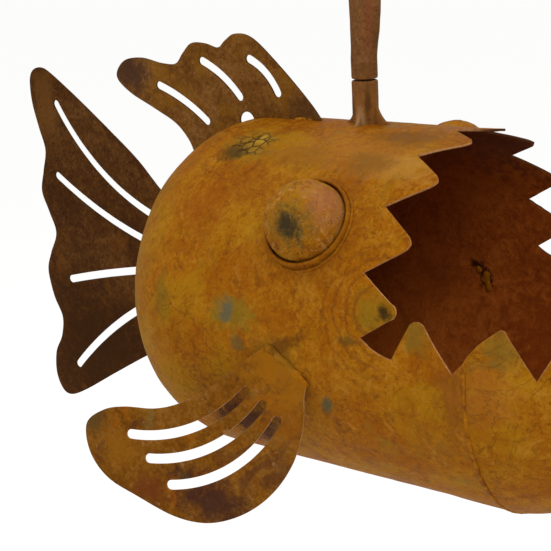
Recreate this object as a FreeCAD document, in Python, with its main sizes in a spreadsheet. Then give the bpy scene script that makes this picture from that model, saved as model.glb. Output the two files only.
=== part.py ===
import FreeCAD, Part
import math
import os
import Sketcher

# Hanging fish ornament made of welded sheet steel.
# +X runs along the body towards the open mouth, +Z is up, and -Y is the fish's right side.
# The origin is the centre of the hole in the flattened top end of the hanger tube.
# The body hangs below it: a barrel with a dished rear end, and the lower half of a dished front
# end that makes the chin. Millimetres.

doc = FreeCAD.newDocument("hanging_fish")
V = FreeCAD.Vector

# ---------------------------------------------------------------- driving dimensions

DIMENSIONS = {
    # shell
    "hang_drop": 300.0,          # hanger hole down to the body's axis
    "shell_radius": 150.0,       # outside of the barrel
    "shell_sheet": 2.0,          # sheet thickness of the shell
    "rear_seam_x": -99.5,        # where the barrel meets the rear dished end
    "knuckle_radius": 95.0,      # outside radius at the edge of the rear end
    "crown_radius": 205.0,       # outside radius over the middle of the rear end
    "chin_seam_x": 173.0,        # where the barrel meets the chin
    "chin_radius": 152.0,        # outside radius of the chin's dish
    "seam_bead_radius": 2.0,
    # upper teeth, cut round the front edge of the barrel
    "upper_tip_x": 115.5,
    "upper_notch_x": 83.0,
    "upper_tooth_angle": 21.4,   # pitch round the barrel, degrees
    "upper_notches": 5.0,        # those over the top; the lowest one each side is in the jaw's outline
    "upper_tooth_turn": 0.7,     # the whole row sits this much lower on the right, degrees
    "tooth_round": 6.0,          # length of a flank that rounds over at the tip
    # lower teeth, heights above the body's axis
    "lower_tip_z": 40.0,
    "lower_notch_z": 4.9,
    "front_tooth_angle": 20.5,   # pitch round the chin, degrees
    "front_notches": 7.0,
    # eyes
    "eye_x": 22.0,
    "right_eye_angle": 38.0,     # above the horizontal, round the body's axis
    "left_eye_angle": 43.0,
    "eye_lip_height": 155.0,     # lip of the socket, from the body's axis
    "socket_radius": 37.5,
    "socket_sheet": 3.0,
    "eyeball_radius": 33.0,
    "eyeball_centre": 152.0,     # from the body's axis
    "eye_bead": 2.0,
    # fins
    "fin_sheet": 2.0,
    "tail_slot_width": 8.0,
    "dorsal_slot_width": 7.5,
    "pectoral_slot_width": 9.0,
    "relief_radius": 8.0,        # half-round relief in the dorsal fin's root
    "relief_angle": 16.8,        # where it sits on the knuckle
    "fin_flare": 26.0,           # side fins away from the shell, degrees
    "tack_radius": 3.0,
    # hanger and swivel, heights above the body's axis
    "tube_radius": 11.0,
    "tube_wall": 2.0,
    "swivel_gap_low": 186.4,
    "swivel_gap": 1.4,
    "end_chamfer": 1.2,
    "pin_radius": 7.0,
    "pin_clearance": 0.05,
    "stub_plug_length": 18.0,
    "hanger_bush_length": 14.0,
    "washer_thick": 1.5,
    "washer_radius": 8.4,
    "head_gap": 0.3,
    "head_radius": 8.0,
    "head_thick": 5.0,
    "flat_half_width": 16.5,     # of the tube's flattened end
    "flat_start": 285.0,
    "round_end": 209.0,          # the tube is round up to here
    "hanger_hole_radius": 5.5,
    # gussets at the foot of the stub tube
    "gusset_thick": 3.5,
    "front_gusset_height": 14.0,
    "front_gusset_reach": 9.0,
    "side_gusset_height": 11.0,
    "side_gusset_reach": 6.0,
    "rear_gusset_height": 8.0,
    "rear_gusset_reach": 5.5,
}

sheet = doc.addObject("Spreadsheet::Sheet", "dims")
for row, (alias, value) in enumerate(DIMENSIONS.items(), start=1):
    sheet.set("A%d" % row, alias)
    sheet.set("B%d" % row, str(value))
    sheet.setAlias("B%d" % row, alias)
doc.recompute()

NODES = []


def dim(alias):
    """One driving dimension, as the sheet holds it."""
    return float(sheet.get(alias))


SHELL = dim("shell_radius")
WALL = dim("shell_sheet")
DROP = dim("hang_drop")
REAR_SEAM = dim("rear_seam_x")
CHIN_SEAM = dim("chin_seam_x")
KNUCKLE = dim("knuckle_radius")
CROWN = dim("crown_radius")
CHIN = dim("chin_radius")
KNUCKLE_R0 = SHELL - KNUCKLE
# the knuckle and the crown are tangent where their normals agree
KNUCKLE_END = math.acos(KNUCKLE_R0 / (CROWN - KNUCKLE))
CROWN_X = REAR_SEAM + (CROWN - KNUCKLE) * math.sin(KNUCKLE_END)
CHIN_X = CHIN_SEAM - math.sqrt(CHIN ** 2 - SHELL ** 2)

SIDES = (("right", -1), ("left", 1))
BEYOND = 200.0               # well outside the shell, for the outer corners of a cut
INSIDE = 140.0               # a height just inside the shell, where what stands on it starts
EYE_DEPTH = 25.0             # how far under the shell's surface an eye's solids start
OVAL_POINTS = 32             # points round one section of the hanger's flattening

# outlines on the shell, as x and height above the body's axis
JAW_CORNER = (86.3, 19.2)
JAW_NICK = (113.8, 7.0)
SIDE_TOOTH_BACK = (127.0, 33.2)
SIDE_TOOTH_FRONT = (139.2, 35.6)
CHIN_NOTCH = (163.5, 4.9)
CHIN_TOOTH_FOOT = (171.5, 13.8)
LAST_TOOTH_LOW = (110.8, 35.5)
LAST_TOOTH_TIP = (115.6, 41.8)
LAST_TOOTH_HIGH = (110.6, 47.3)
LAST_NOTCH = (82.8, 65.4)
THIRD_TOOTH_LOW = (111.9, 82.8)
THIRD_TOOTH_CREST = (114.3, 85.5)
THIRD_TOOTH_TIP_Z = 87.8
CHIN_CREST_X = 197.0         # tip of the tooth that crosses the chin seam

# where the fins' roots end, in degrees round the part of the rear end they stand on
TAIL_ROOT_UP = 12.7
TAIL_ROOT_DOWN = 17.0
DORSAL_ROOT_REAR = 56.0
DORSAL_FOOT_X = -45.0
# tacks of weld along the dorsal fin's root: x on the barrel, degrees round the knuckle
BARREL_TACKS = [(-58.0, -70.0), (-80.0, -90.0)]
KNUCKLE_TACK = (45.0, 50.0)


# ---------------------------------------------------------------- helpers

def node(obj, label):
    """Register one sub-part under the name of its file."""
    obj.Label = label
    NODES.append(obj)
    return obj


def new_body(label, drop=True):
    """A PartDesign body; with drop its local origin lies on the fish's axis."""
    body = doc.addObject("PartDesign::Body", "Body_" + label)
    if drop:
        body.setExpression("Placement.Base.z", "-dims.hang_drop")
    return node(body, label)


def origin_feature(body, role):
    """One of the body's own planes or axes."""
    for feature in body.Origin.OriginFeatures:
        if feature.Role == role:
            return feature
    raise ValueError(role)


def new_sketch(body, role, offset=None):
    """A sketch on one of the body's own planes."""
    sketch = body.newObject("Sketcher::SketchObject", "Sketch")
    sketch.AttachmentSupport = [(origin_feature(body, role), "")]
    sketch.MapMode = "FlatFace"
    if offset is not None:
        sketch.AttachmentOffset = offset
    return sketch


def add_loop(sketch, curves):
    """Add a closed run of curves and join each end to the start of the next one."""
    ids = [sketch.addGeometry(curve, False) for curve in curves]
    for k, geo in enumerate(ids):
        follower = ids[(k + 1) % len(ids)]
        # a sketch keeps every arc anticlockwise, so the ends that meet are found by place
        ends = [(sketch.getPoint(geo, a).distanceToPoint(sketch.getPoint(follower, b)), a, b)
                for a in (1, 2) for b in (1, 2)]
        _, a, b = min(ends)
        sketch.addConstraint(Sketcher.Constraint("Coincident", geo, a, follower, b))


def bind(sketch, name, constraint, expression):
    """Add one size to a sketch and bind it to the sheet."""
    index = sketch.addConstraint(constraint)
    sketch.renameConstraint(index, name)
    sketch.setExpression("Constraints." + name, expression)


def on_axis(sketch, geo):
    """Hold both ends of a line on the axis that a profile turns about."""
    for end in (1, 2):
        sketch.addConstraint(Sketcher.Constraint("PointOnObject", geo, end, -1))


def segment(a, b):
    return Part.LineSegment(V(a[0], a[1], 0), V(b[0], b[1], 0))


def three_point_arc(a, b, c):
    return Part.Arc(V(a[0], a[1], 0), V(b[0], b[1], 0), V(c[0], c[1], 0))


def spline(points):
    """A smooth curve through hand-set points."""
    curve = Part.BSplineCurve()
    curve.interpolate([V(x, y, 0) for x, y in points])
    return curve


def polar(centre, radius, degrees):
    angle = math.radians(degrees)
    return (centre[0] + radius * math.cos(angle), centre[1] + radius * math.sin(angle))


def arc_about(centre, radius, start, end):
    """An arc about a centre, from one angle in degrees to another."""
    middle = (start + end) / 2
    return three_point_arc(polar(centre, radius, start), polar(centre, radius, middle),
                           polar(centre, radius, end))


def pad_plate(body, sketch, expression):
    """A flat plate, half its thickness each side of the sketch."""
    pad = body.newObject("PartDesign::Pad", "Pad")
    pad.Profile = sketch
    pad.Midplane = True
    pad.setExpression("Length", expression)
    sketch.Visibility = False
    return pad


def pocket_through(body, sketch, midplane=True, reverse=False):
    """Cut a sketch right through the body."""
    pocket = body.newObject("PartDesign::Pocket", "Pocket")
    pocket.Profile = sketch
    pocket.Type = 1
    pocket.Midplane = midplane
    pocket.Reversed = reverse
    return pocket


def arc_slot(sketch, start, middle, end, width):
    """A slot of even width along the arc through three points, with round ends."""
    arc = Part.Circle(V(*start, 0), V(*middle, 0), V(*end, 0))
    centre = (arc.Center.x, arc.Center.y)
    half = width / 2
    a0 = math.degrees(math.atan2(start[1] - centre[1], start[0] - centre[0]))
    a1 = math.degrees(math.atan2(end[1] - centre[1], end[0] - centre[0]))
    a1 = a0 + (a1 - a0 + 180) % 360 - 180
    side = math.copysign(1, a1 - a0)
    outer = arc.Radius + half
    inner = arc.Radius - half
    cap_end = three_point_arc(polar(centre, outer, a1), polar(end, half, a1 + 90 * side),
                              polar(centre, inner, a1))
    cap_start = three_point_arc(polar(centre, inner, a0), polar(start, half, a0 - 90 * side),
                                polar(centre, outer, a0))
    add_loop(sketch, [arc_about(centre, outer, a0, a1), cap_end,
                      arc_about(centre, inner, a1, a0), cap_start])


def notch_loop(half, depth, beyond):
    """The V between two teeth: apex at (0, 0), a tooth's tip at each half width, open upwards."""
    over = dim("tooth_round")
    turn = (half - over, depth - 0.6 * over)
    crest = (half - 0.46 * over, depth - 0.2 * over)
    tip = (half, depth)

    def left(point):
        return (-point[0], point[1])

    return [
        segment((0, 0), turn),
        three_point_arc(turn, crest, tip),
        segment(tip, (half, beyond)),
        segment((half, beyond), (-half, beyond)),
        segment((-half, beyond), left(tip)),
        three_point_arc(left(tip), left(crest), left(turn)),
        segment(left(turn), (0, 0)),
    ]


def swap(curves):
    """The same curves with x and y exchanged, so that a notch opens along x."""
    out = []
    for curve in curves:
        if isinstance(curve, Part.LineSegment):
            a, b = curve.StartPoint, curve.EndPoint
            out.append(segment((a.y, a.x), (b.y, b.x)))
        else:
            shape = curve.toShape()
            first, last = shape.FirstParameter, shape.LastParameter
            points = [shape.valueAt(first + (last - first) * k / 2) for k in range(3)]
            out.append(three_point_arc(*[(p.y, p.x) for p in points]))
    return out


def shifted(curves, dx, dy):
    for curve in curves:
        curve.translate(V(dx, dy, 0))
    return curves


def feature(label, shape):
    """A sub-part whose shape comes from Part's own functions."""
    obj = doc.addObject("Part::Feature", "Feature_" + label)
    obj.Shape = shape
    return node(obj, label)


# ---------------------------------------------------------------- shell

def revolve(body, sketch):
    """Turn a profile about the fish's axis."""
    turn = body.newObject("PartDesign::Revolution", "Revolution")
    turn.Profile = sketch
    turn.ReferenceAxis = (origin_feature(body, "X_Axis"), [""])
    turn.Angle = 360.0
    return turn


def rear_dome():
    """Dished rear end: a knuckle that runs into a flatter crown."""
    body = new_body("rear_dome")
    sketch = new_sketch(body, "XZ_Plane")
    knuckle = (REAR_SEAM, KNUCKLE_R0)
    crown = (CROWN_X, 0)
    turn = math.degrees(KNUCKLE_END)
    curves = [
        arc_about(knuckle, KNUCKLE, 90, 90 + turn),
        arc_about(crown, CROWN, 90 + turn, 180),
        segment((CROWN_X - CROWN, 0), (CROWN_X - CROWN + WALL, 0)),
        arc_about(crown, CROWN - WALL, 180, 90 + turn),
        arc_about(knuckle, KNUCKLE - WALL, 90 + turn, 90),
        segment((REAR_SEAM, SHELL - WALL), (REAR_SEAM, SHELL)),
    ]
    add_loop(sketch, curves)
    on_axis(sketch, 2)
    bind(sketch, "knuckle", Sketcher.Constraint("Radius", 0, KNUCKLE), "dims.knuckle_radius")
    bind(sketch, "crown", Sketcher.Constraint("Radius", 1, CROWN), "dims.crown_radius")
    revolve(body, sketch)


def barrel():
    """Rolled barrel with the upper teeth and the first lower teeth cut in its front edge."""
    body = new_body("barrel")
    sketch = new_sketch(body, "XZ_Plane")
    corners = [(REAR_SEAM, SHELL - WALL), (CHIN_SEAM, SHELL - WALL), (CHIN_SEAM, SHELL),
               (REAR_SEAM, SHELL)]
    add_loop(sketch, [segment(corners[k], corners[(k + 1) % 4]) for k in range(4)])
    for geo in (0, 2):
        sketch.addConstraint(Sketcher.Constraint("Horizontal", geo))
    for geo in (1, 3):
        sketch.addConstraint(Sketcher.Constraint("Vertical", geo))
    bind(sketch, "radius", Sketcher.Constraint("DistanceY", -1, 1, 2, 1, SHELL),
         "dims.shell_radius")
    bind(sketch, "front", Sketcher.Constraint("DistanceX", -1, 1, 2, 1, CHIN_SEAM),
         "dims.chin_seam_x")
    bind(sketch, "sheet", Sketcher.Constraint("DistanceY", 1, 1, 1, 2, WALL),
         "dims.shell_sheet")
    revolve(body, sketch)

    # mouth, seen from the side: above the lower jaw, round the last upper tooth on each side
    # and the notch over it, and ahead of the other upper teeth
    tip_x = dim("upper_tip_x")
    side = new_sketch(body, "XZ_Plane")
    jaw = [
        three_point_arc(JAW_CORNER, (98.5, 11.6), JAW_NICK),
        segment(JAW_NICK, SIDE_TOOTH_BACK),
        three_point_arc(SIDE_TOOTH_BACK, (133.6, 38.0), SIDE_TOOTH_FRONT),
        segment(SIDE_TOOTH_FRONT, CHIN_NOTCH),
        segment(CHIN_NOTCH, CHIN_TOOTH_FOOT),
        segment(CHIN_TOOTH_FOOT, (BEYOND, 60)),
        segment((BEYOND, 60), (BEYOND, BEYOND)),
        segment((BEYOND, BEYOND), (tip_x, BEYOND)),
        segment((tip_x, BEYOND), (tip_x, THIRD_TOOTH_TIP_Z)),
        three_point_arc((tip_x, THIRD_TOOTH_TIP_Z), THIRD_TOOTH_CREST, THIRD_TOOTH_LOW),
        segment(THIRD_TOOTH_LOW, LAST_NOTCH),
        segment(LAST_NOTCH, LAST_TOOTH_HIGH),
        three_point_arc(LAST_TOOTH_HIGH, LAST_TOOTH_TIP, LAST_TOOTH_LOW),
        segment(LAST_TOOTH_LOW, JAW_CORNER),
    ]
    add_loop(side, jaw)
    pocket_through(body, side)

    # one notch between two upper teeth, repeated round the barrel
    pitch = dim("upper_tooth_angle")
    count = int(dim("upper_notches"))
    depth = tip_x - dim("upper_notch_x")
    half = SHELL * math.tan(math.radians(pitch / 2))
    start = -pitch * (count - 1) / 2 + dim("upper_tooth_turn")
    notch = new_sketch(body, "XY_Plane",
                       FreeCAD.Placement(V(0, 0, 0), FreeCAD.Rotation(V(1, 0, 0), start)))
    loop = swap(notch_loop(half, depth, depth + 30))
    add_loop(notch, shifted(loop, dim("upper_notch_x"), 0))
    cut = pocket_through(body, notch, midplane=False, reverse=True)
    ring = body.newObject("PartDesign::PolarPattern", "UpperTeeth")
    ring.Originals = [cut]
    ring.Axis = (origin_feature(body, "X_Axis"), [""])
    ring.Angle = pitch * (count - 1)
    ring.Occurrences = count
    body.Tip = ring


def chin_dome():
    """Lower half of a dished front end, toothed along its rim."""
    body = doc.addObject("PartDesign::Body", "Body_chin_dome")
    node(body, "chin_dome")
    body.setExpression("Placement.Base.z", "-dims.hang_drop")
    body.setExpression("Placement.Base.x",
                       "dims.chin_seam_x - sqrt(dims.chin_radius^2 - dims.shell_radius^2)")
    sketch = new_sketch(body, "XZ_Plane")
    seam = CHIN_SEAM - CHIN_X
    outer = math.degrees(math.acos(seam / CHIN))
    inner = math.degrees(math.acos(seam / (CHIN - WALL)))
    add_loop(sketch, [
        arc_about((0, 0), CHIN, 0, outer),
        segment(polar((0, 0), CHIN, outer), polar((0, 0), CHIN - WALL, inner)),
        arc_about((0, 0), CHIN - WALL, inner, 0),
        segment((CHIN - WALL, 0), (CHIN, 0)),
    ])
    on_axis(sketch, 3)
    bind(sketch, "dish", Sketcher.Constraint("Radius", 0, CHIN), "dims.chin_radius")
    revolve(body, sketch)

    # everything above the teeth, and the back edge of the tooth that crosses the seam
    tip_z = dim("lower_tip_z")
    top = new_sketch(body, "XZ_Plane")
    crest_x = CHIN_CREST_X - CHIN_X
    foot_x = CHIN_TOOTH_FOOT[0] - CHIN_X
    add_loop(top, [
        segment((CHIN_NOTCH[0] - CHIN_X, CHIN_NOTCH[1]), (foot_x, CHIN_TOOTH_FOOT[1])),
        three_point_arc((foot_x, CHIN_TOOTH_FOOT[1]), (181.8 - CHIN_X, 28.0),
                        (crest_x - 3.5, tip_z - 2)),
        three_point_arc((crest_x - 3.5, tip_z - 2), (crest_x - 1.8, tip_z - 0.6),
                        (crest_x + 1, tip_z)),
        segment((crest_x + 1, tip_z), (BEYOND, tip_z)),
        segment((BEYOND, tip_z), (BEYOND, BEYOND)),
        segment((BEYOND, BEYOND), (0, BEYOND)),
        segment((0, BEYOND), (0, CHIN_NOTCH[1])),
        segment((0, CHIN_NOTCH[1]), (CHIN_NOTCH[0] - CHIN_X, CHIN_NOTCH[1])),
    ])
    pocket_through(body, top)

    # one notch between two front teeth, repeated round the chin
    pitch = dim("front_tooth_angle")
    count = int(dim("front_notches"))
    depth = tip_z - dim("lower_notch_z")
    rim = math.sqrt(CHIN ** 2 - tip_z ** 2)
    half = rim * math.tan(math.radians(pitch / 2))
    start = -pitch * (count - 1) / 2
    notch = new_sketch(body, "YZ_Plane",
                       FreeCAD.Placement(V(0, 0, 0), FreeCAD.Rotation(V(0, 1, 0), start)))
    loop = notch_loop(half, depth, depth + 30)
    add_loop(notch, shifted(loop, 0, dim("lower_notch_z")))
    cut = pocket_through(body, notch, midplane=False, reverse=True)
    ring = body.newObject("PartDesign::PolarPattern", "FrontTeeth")
    ring.Originals = [cut]
    ring.Axis = (origin_feature(body, "Z_Axis"), [""])
    ring.Angle = pitch * (count - 1)
    ring.Occurrences = count
    body.Tip = ring


# ---------------------------------------------------------------- fins

def tail_fin():
    """Fan-shaped plate on the middle of the rear end, with four slots."""
    body = new_body("tail_fin")
    sketch = new_sketch(body, "XZ_Plane")
    crown = (CROWN_X, 0)
    top = polar(crown, CROWN, 180 - TAIL_ROOT_UP)
    bottom = polar(crown, CROWN, 180 + TAIL_ROOT_DOWN)
    upper_edge = [top, (-238, 73), (-266, 101), (-305, 131), (-345, 160), (-378, 182), (-396, 188)]
    trailing_edge = [(-396, 188), (-409, 180), (-411, 160), (-404, 127), (-396, 103), (-403, 80),
                     (-409, 58), (-401, 36), (-394, 14), (-405, -9), (-412, -29), (-407, -57),
                     (-396, -79), (-401, -101), (-414, -122), (-414, -150), (-396, -170)]
    lower_edge = [(-396, -170), (-372, -159), (-326, -132), (-279, -105), (-236, -82), bottom]
    add_loop(sketch, [
        spline(upper_edge),
        spline(trailing_edge),
        spline(lower_edge),
        arc_about(crown, CROWN, 180 + TAIL_ROOT_DOWN, 180 - TAIL_ROOT_UP),
    ])
    pad_plate(body, sketch, "dims.fin_sheet")
    slots = new_sketch(body, "XZ_Plane")
    width = dim("tail_slot_width")
    arc_slot(slots, (-376, 150), (-322, 86), (-240, 41), width)
    arc_slot(slots, (-384, 75), (-328, 43), (-246, 14), width)
    arc_slot(slots, (-379, -36), (-325, -23), (-250, -9), width)
    arc_slot(slots, (-381, -132), (-338, -93), (-258, -42), width)
    pocket_through(body, slots)


def dorsal_fin():
    """Three-lobed plate on the back, with three slots and a relief in its root."""
    body = new_body("dorsal_fin")
    sketch = new_sketch(body, "XZ_Plane")
    knuckle = (REAR_SEAM, KNUCKLE_R0)
    relief_at = polar(knuckle, KNUCKLE, 90 + dim("relief_angle"))
    relief = dim("relief_radius")
    half_gap = math.degrees(2 * math.asin(relief / KNUCKLE / 2))
    before = 90 + dim("relief_angle") - half_gap
    after = 90 + dim("relief_angle") + half_gap
    foot = polar(knuckle, KNUCKLE, 90 + DORSAL_ROOT_REAR)
    edge = [(DORSAL_FOOT_X, SHELL), (-57, 165), (-86, 194), (-116, 219), (-136, 223), (-148, 217),
            (-157, 210.5), (-172, 214), (-188, 214), (-199, 205), (-209, 195), (-227, 195),
            (-252, 199.5), (-275, 196), (-286, 181), (-270, 166), (-240, 152), (-214, 139),
            (-199, 124), (-189, 106), foot]
    add_loop(sketch, [
        spline(edge),
        arc_about(knuckle, KNUCKLE, 90 + DORSAL_ROOT_REAR, after),
        three_point_arc(polar(knuckle, KNUCKLE, after), polar(relief_at, relief, 100),
                        polar(knuckle, KNUCKLE, before)),
        arc_about(knuckle, KNUCKLE, before, 90),
        segment((REAR_SEAM, SHELL), (DORSAL_FOOT_X, SHELL)),
    ])
    pad_plate(body, sketch, "dims.fin_sheet")
    slots = new_sketch(body, "XZ_Plane")
    width = dim("dorsal_slot_width")
    arc_slot(slots, (-231, 174), (-202, 161), (-175, 143), width)
    arc_slot(slots, (-176, 198), (-153, 185), (-134, 167), width)
    arc_slot(slots, (-121, 201), (-103, 189), (-91, 172), width)
    pocket_through(body, slots)


def on_shell(x, degrees, radius, side):
    """A point round the barrel; side is -1 for the fish's right and +1 for its left."""
    angle = math.radians(degrees)
    return V(x, side * radius * math.cos(angle), radius * math.sin(angle) - DROP)


def pectoral_frame(side):
    """Root line of a side fin and the directions that its plate runs in."""
    rear = on_shell(-4, 2, SHELL, side)
    front = on_shell(38, -10, SHELL, side)
    middle = (rear + front) / 2
    along = (rear - front).normalize()
    outward = V(0, middle.y, middle.z + DROP).normalize()
    down = outward.cross(along)
    if down.z > 0:
        down = down * -1
    flare = math.radians(dim("fin_flare"))
    away = down * math.cos(flare) + outward * math.sin(flare)
    return middle, away, along, outward


def pectoral_fin(label, side):
    """Paddle-shaped plate on one side, swept back and flared out, with three slots."""
    body = new_body(label, drop=False)
    sketch = new_sketch(body, "XY_Plane")
    edge = [(1, -26), (10, -31), (26, -43), (50, -54), (74, -59), (98, -57.5), (122, -51), (142, -35),
            (158, -12), (169, 20), (177, 50), (173, 76), (157, 95), (138, 90), (122, 77), (104, 56),
            (84, 42), (58, 32), (30, 26), (1, 19)]
    add_loop(sketch, [spline(edge), segment((1, 19), (1, -26))])
    pad_plate(body, sketch, "dims.fin_sheet")
    slots = new_sketch(body, "XY_Plane")
    width = dim("pectoral_slot_width")
    arc_slot(slots, (135, 59), (96, 25), (39, 8), width)
    arc_slot(slots, (138, 34), (95, 2), (37, -9), width)
    arc_slot(slots, (140, 6), (97, -21), (38, -26), width)
    pocket_through(body, slots)
    middle, away, along, outward = pectoral_frame(side)
    body.Placement = FreeCAD.Placement(middle + outward * 1.2,
                                       FreeCAD.Rotation(away, along, away.cross(along), "XYZ"))


# ---------------------------------------------------------------- primitives in the sheet's terms

def cylinder(name, radius, height, z=None):
    """A Part cylinder along +Z whose sizes are expressions of the sheet."""
    obj = doc.addObject("Part::Cylinder", name)
    obj.setExpression("Radius", radius)
    obj.setExpression("Height", height)
    if z is not None:
        obj.setExpression("Placement.Base.z", z)
    return obj


def cut(name, base, tool):
    obj = doc.addObject("Part::Cut", name)
    obj.Base = base
    obj.Tool = tool
    return obj


def fuse(name, parts):
    obj = doc.addObject("Part::MultiFuse", name)
    obj.Shapes = parts
    return obj


def common(name, base, tool):
    obj = doc.addObject("Part::Common", name)
    obj.Base = base
    obj.Tool = tool
    return obj


def shell_solid(name, radius):
    """The barrel's outside as a solid bar, for trimming what stands on it."""
    bar = cylinder(name, radius, "600")
    bar.Placement = FreeCAD.Placement(V(-300, 0, -DROP), FreeCAD.Rotation(V(0, 1, 0), 90))
    return bar


def capsule(name, start, end, radius):
    """A short bead of weld with round ends."""
    run = end - start
    core = cylinder(name + "_core", radius, str(run.Length))
    core.Placement = FreeCAD.Placement(start, FreeCAD.Rotation(V(0, 0, 1), run))
    caps = []
    for k, point in enumerate((start, end)):
        ball = doc.addObject("Part::Sphere", "%s_end%d" % (name, k))
        ball.setExpression("Radius", radius)
        ball.Placement.Base = point
        caps.append(ball)
    return fuse(name, [core] + caps)


# ---------------------------------------------------------------- eyes

def eye_placement(side, height):
    """A frame whose Z points out of one eye, at a height from the body's axis."""
    angle = math.radians(dim("right_eye_angle" if side < 0 else "left_eye_angle"))
    outward = V(0, side * math.cos(angle), math.sin(angle))
    base = V(dim("eye_x"), 0, -DROP) + outward * height
    return FreeCAD.Placement(base, FreeCAD.Rotation(V(0, 0, 1), outward))


def eye(prefix, side, shell, shell_and_bead):
    """One eye: a socket ring, the pressed ball inside it, and the bead round the ring."""
    low = SHELL - EYE_DEPTH
    ring_out = cylinder(prefix + "_ring_out", "dims.socket_radius",
                        "dims.eye_lip_height - dims.shell_radius + %g" % EYE_DEPTH)
    ring_in = cylinder(prefix + "_ring_in", "dims.socket_radius - dims.socket_sheet", "60")
    for obj in (ring_out, ring_in):
        obj.Placement = eye_placement(side, low)
    tube = cut(prefix + "_ring_tube", ring_out, ring_in)
    node(cut(prefix + "_ring_cut", tube, shell), prefix + "_eye_socket")

    parts = []
    for inset in ("0", "dims.shell_sheet"):
        radius = "dims.eyeball_radius - " + inset
        tag = "%s_ball%d" % (prefix, len(parts))
        ball = doc.addObject("Part::Sphere", tag)
        ball.setExpression("Radius", radius)
        ball.Placement = eye_placement(side, dim("eyeball_centre"))
        skirt = cylinder(tag + "_skirt", radius,
                         "dims.eyeball_centre - dims.shell_radius + %g" % EYE_DEPTH)
        skirt.Placement = eye_placement(side, low)
        parts.append(fuse(tag + "_solid", [ball, skirt]))
    hollow = cut(prefix + "_ball_hollow", parts[0], parts[1])
    node(cut(prefix + "_ball_cut", hollow, shell), prefix + "_eyeball")

    bead_out = cylinder(prefix + "_bead_out", "dims.socket_radius + dims.eye_bead", "40")
    bead_in = cylinder(prefix + "_bead_in", "dims.socket_radius", "40")
    for obj in (bead_out, bead_in):
        obj.Placement = eye_placement(side, low)
    bead_tube = cut(prefix + "_bead_tube", bead_out, bead_in)
    bead = common(prefix + "_bead_band", bead_tube, shell_and_bead)
    node(cut(prefix + "_bead_cut", bead, shell), prefix + "_eye_weld")


# ---------------------------------------------------------------- welds

def arc_bead(name, ring, bead, start, sweep, placement):
    """A run of weld bead along part of a circle."""
    torus = doc.addObject("Part::Torus", name)
    torus.setExpression("Radius1", ring)
    torus.setExpression("Radius2", bead)
    torus.Angle3 = sweep
    torus.Placement = placement.multiply(
        FreeCAD.Placement(V(0, 0, 0), FreeCAD.Rotation(V(0, 0, 1), start)))
    return torus


def welds():
    """Seam beads round the shell and the tacks that hold the fins."""
    # a circle about the fish's axis, counted from +Z towards -Y
    about_x = FreeCAD.Rotation(V(0, 0, 1), V(0, -1, 0), V(1, 0, 0), "XYZ")
    rear = arc_bead("rear_bead", "dims.shell_radius - 1", "dims.seam_bead_radius * 0.6", 0, 360,
                    FreeCAD.Placement(V(REAR_SEAM, 0, -DROP), about_x))
    node(rear, "rear_seam_weld")
    chin = arc_bead("chin_bead", "dims.shell_radius - 1", "dims.seam_bead_radius", 86, 188,
                    FreeCAD.Placement(V(CHIN_SEAM, 0, -DROP), about_x))
    node(chin, "chin_seam_weld")

    # one bead each side of the tail's root
    beads = []
    upright = FreeCAD.Rotation(V(1, 0, 0), V(0, 0, 1), V(0, -1, 0), "XYZ")
    for side in (-1, 1):
        beads.append(arc_bead("tail_bead_%d" % (side + 1), "dims.crown_radius + 0.6", "2.2",
                              180 - TAIL_ROOT_UP + 2, TAIL_ROOT_UP + TAIL_ROOT_DOWN - 4,
                              FreeCAD.Placement(V(CROWN_X, side * 2.6, -DROP), upright)))
    node(fuse("tail_beads", beads), "tail_welds")

    # three tacks on the dorsal fin's root: two on the barrel and one on the knuckle
    knuckle = (REAR_SEAM, KNUCKLE_R0)
    runs = [((start, SHELL), (end, SHELL)) for start, end in BARREL_TACKS]
    runs.append([polar(knuckle, KNUCKLE, 90 + place) for place in KNUCKLE_TACK])
    tacks = []
    for k, ends in enumerate(runs):
        start, end = [V(x, 0, z - DROP) for x, z in ends]
        tacks.append(capsule("dorsal_tack_%d" % k, start, end, "dims.tack_radius"))
    node(fuse("dorsal_tack_group", tacks), "dorsal_welds")

    for prefix, side in SIDES:
        middle, _, along, _ = pectoral_frame(side)
        bead = capsule(prefix + "_fin_bead", middle - along * 24, middle + along * 20,
                       "dims.tack_radius")
        node(bead, prefix + "_fin_weld")


# ---------------------------------------------------------------- hanger and swivel

def rounded(name, base, size, picks):
    """Round over the circular edges of base at the given (z, radius) places."""
    doc.recompute()
    chosen = []
    for k, edge in enumerate(base.Shape.Edges, start=1):
        curve = edge.Curve
        if not hasattr(curve, "Radius") or not edge.isClosed():
            continue
        for z, radius in picks:
            if abs(curve.Center.z - z) < 0.01 and abs(curve.Radius - radius) < 0.01:
                chosen.append((k, size, size))
    obj = doc.addObject("Part::Fillet", name)
    obj.Base = base
    obj.Edges = chosen
    return obj


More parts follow.
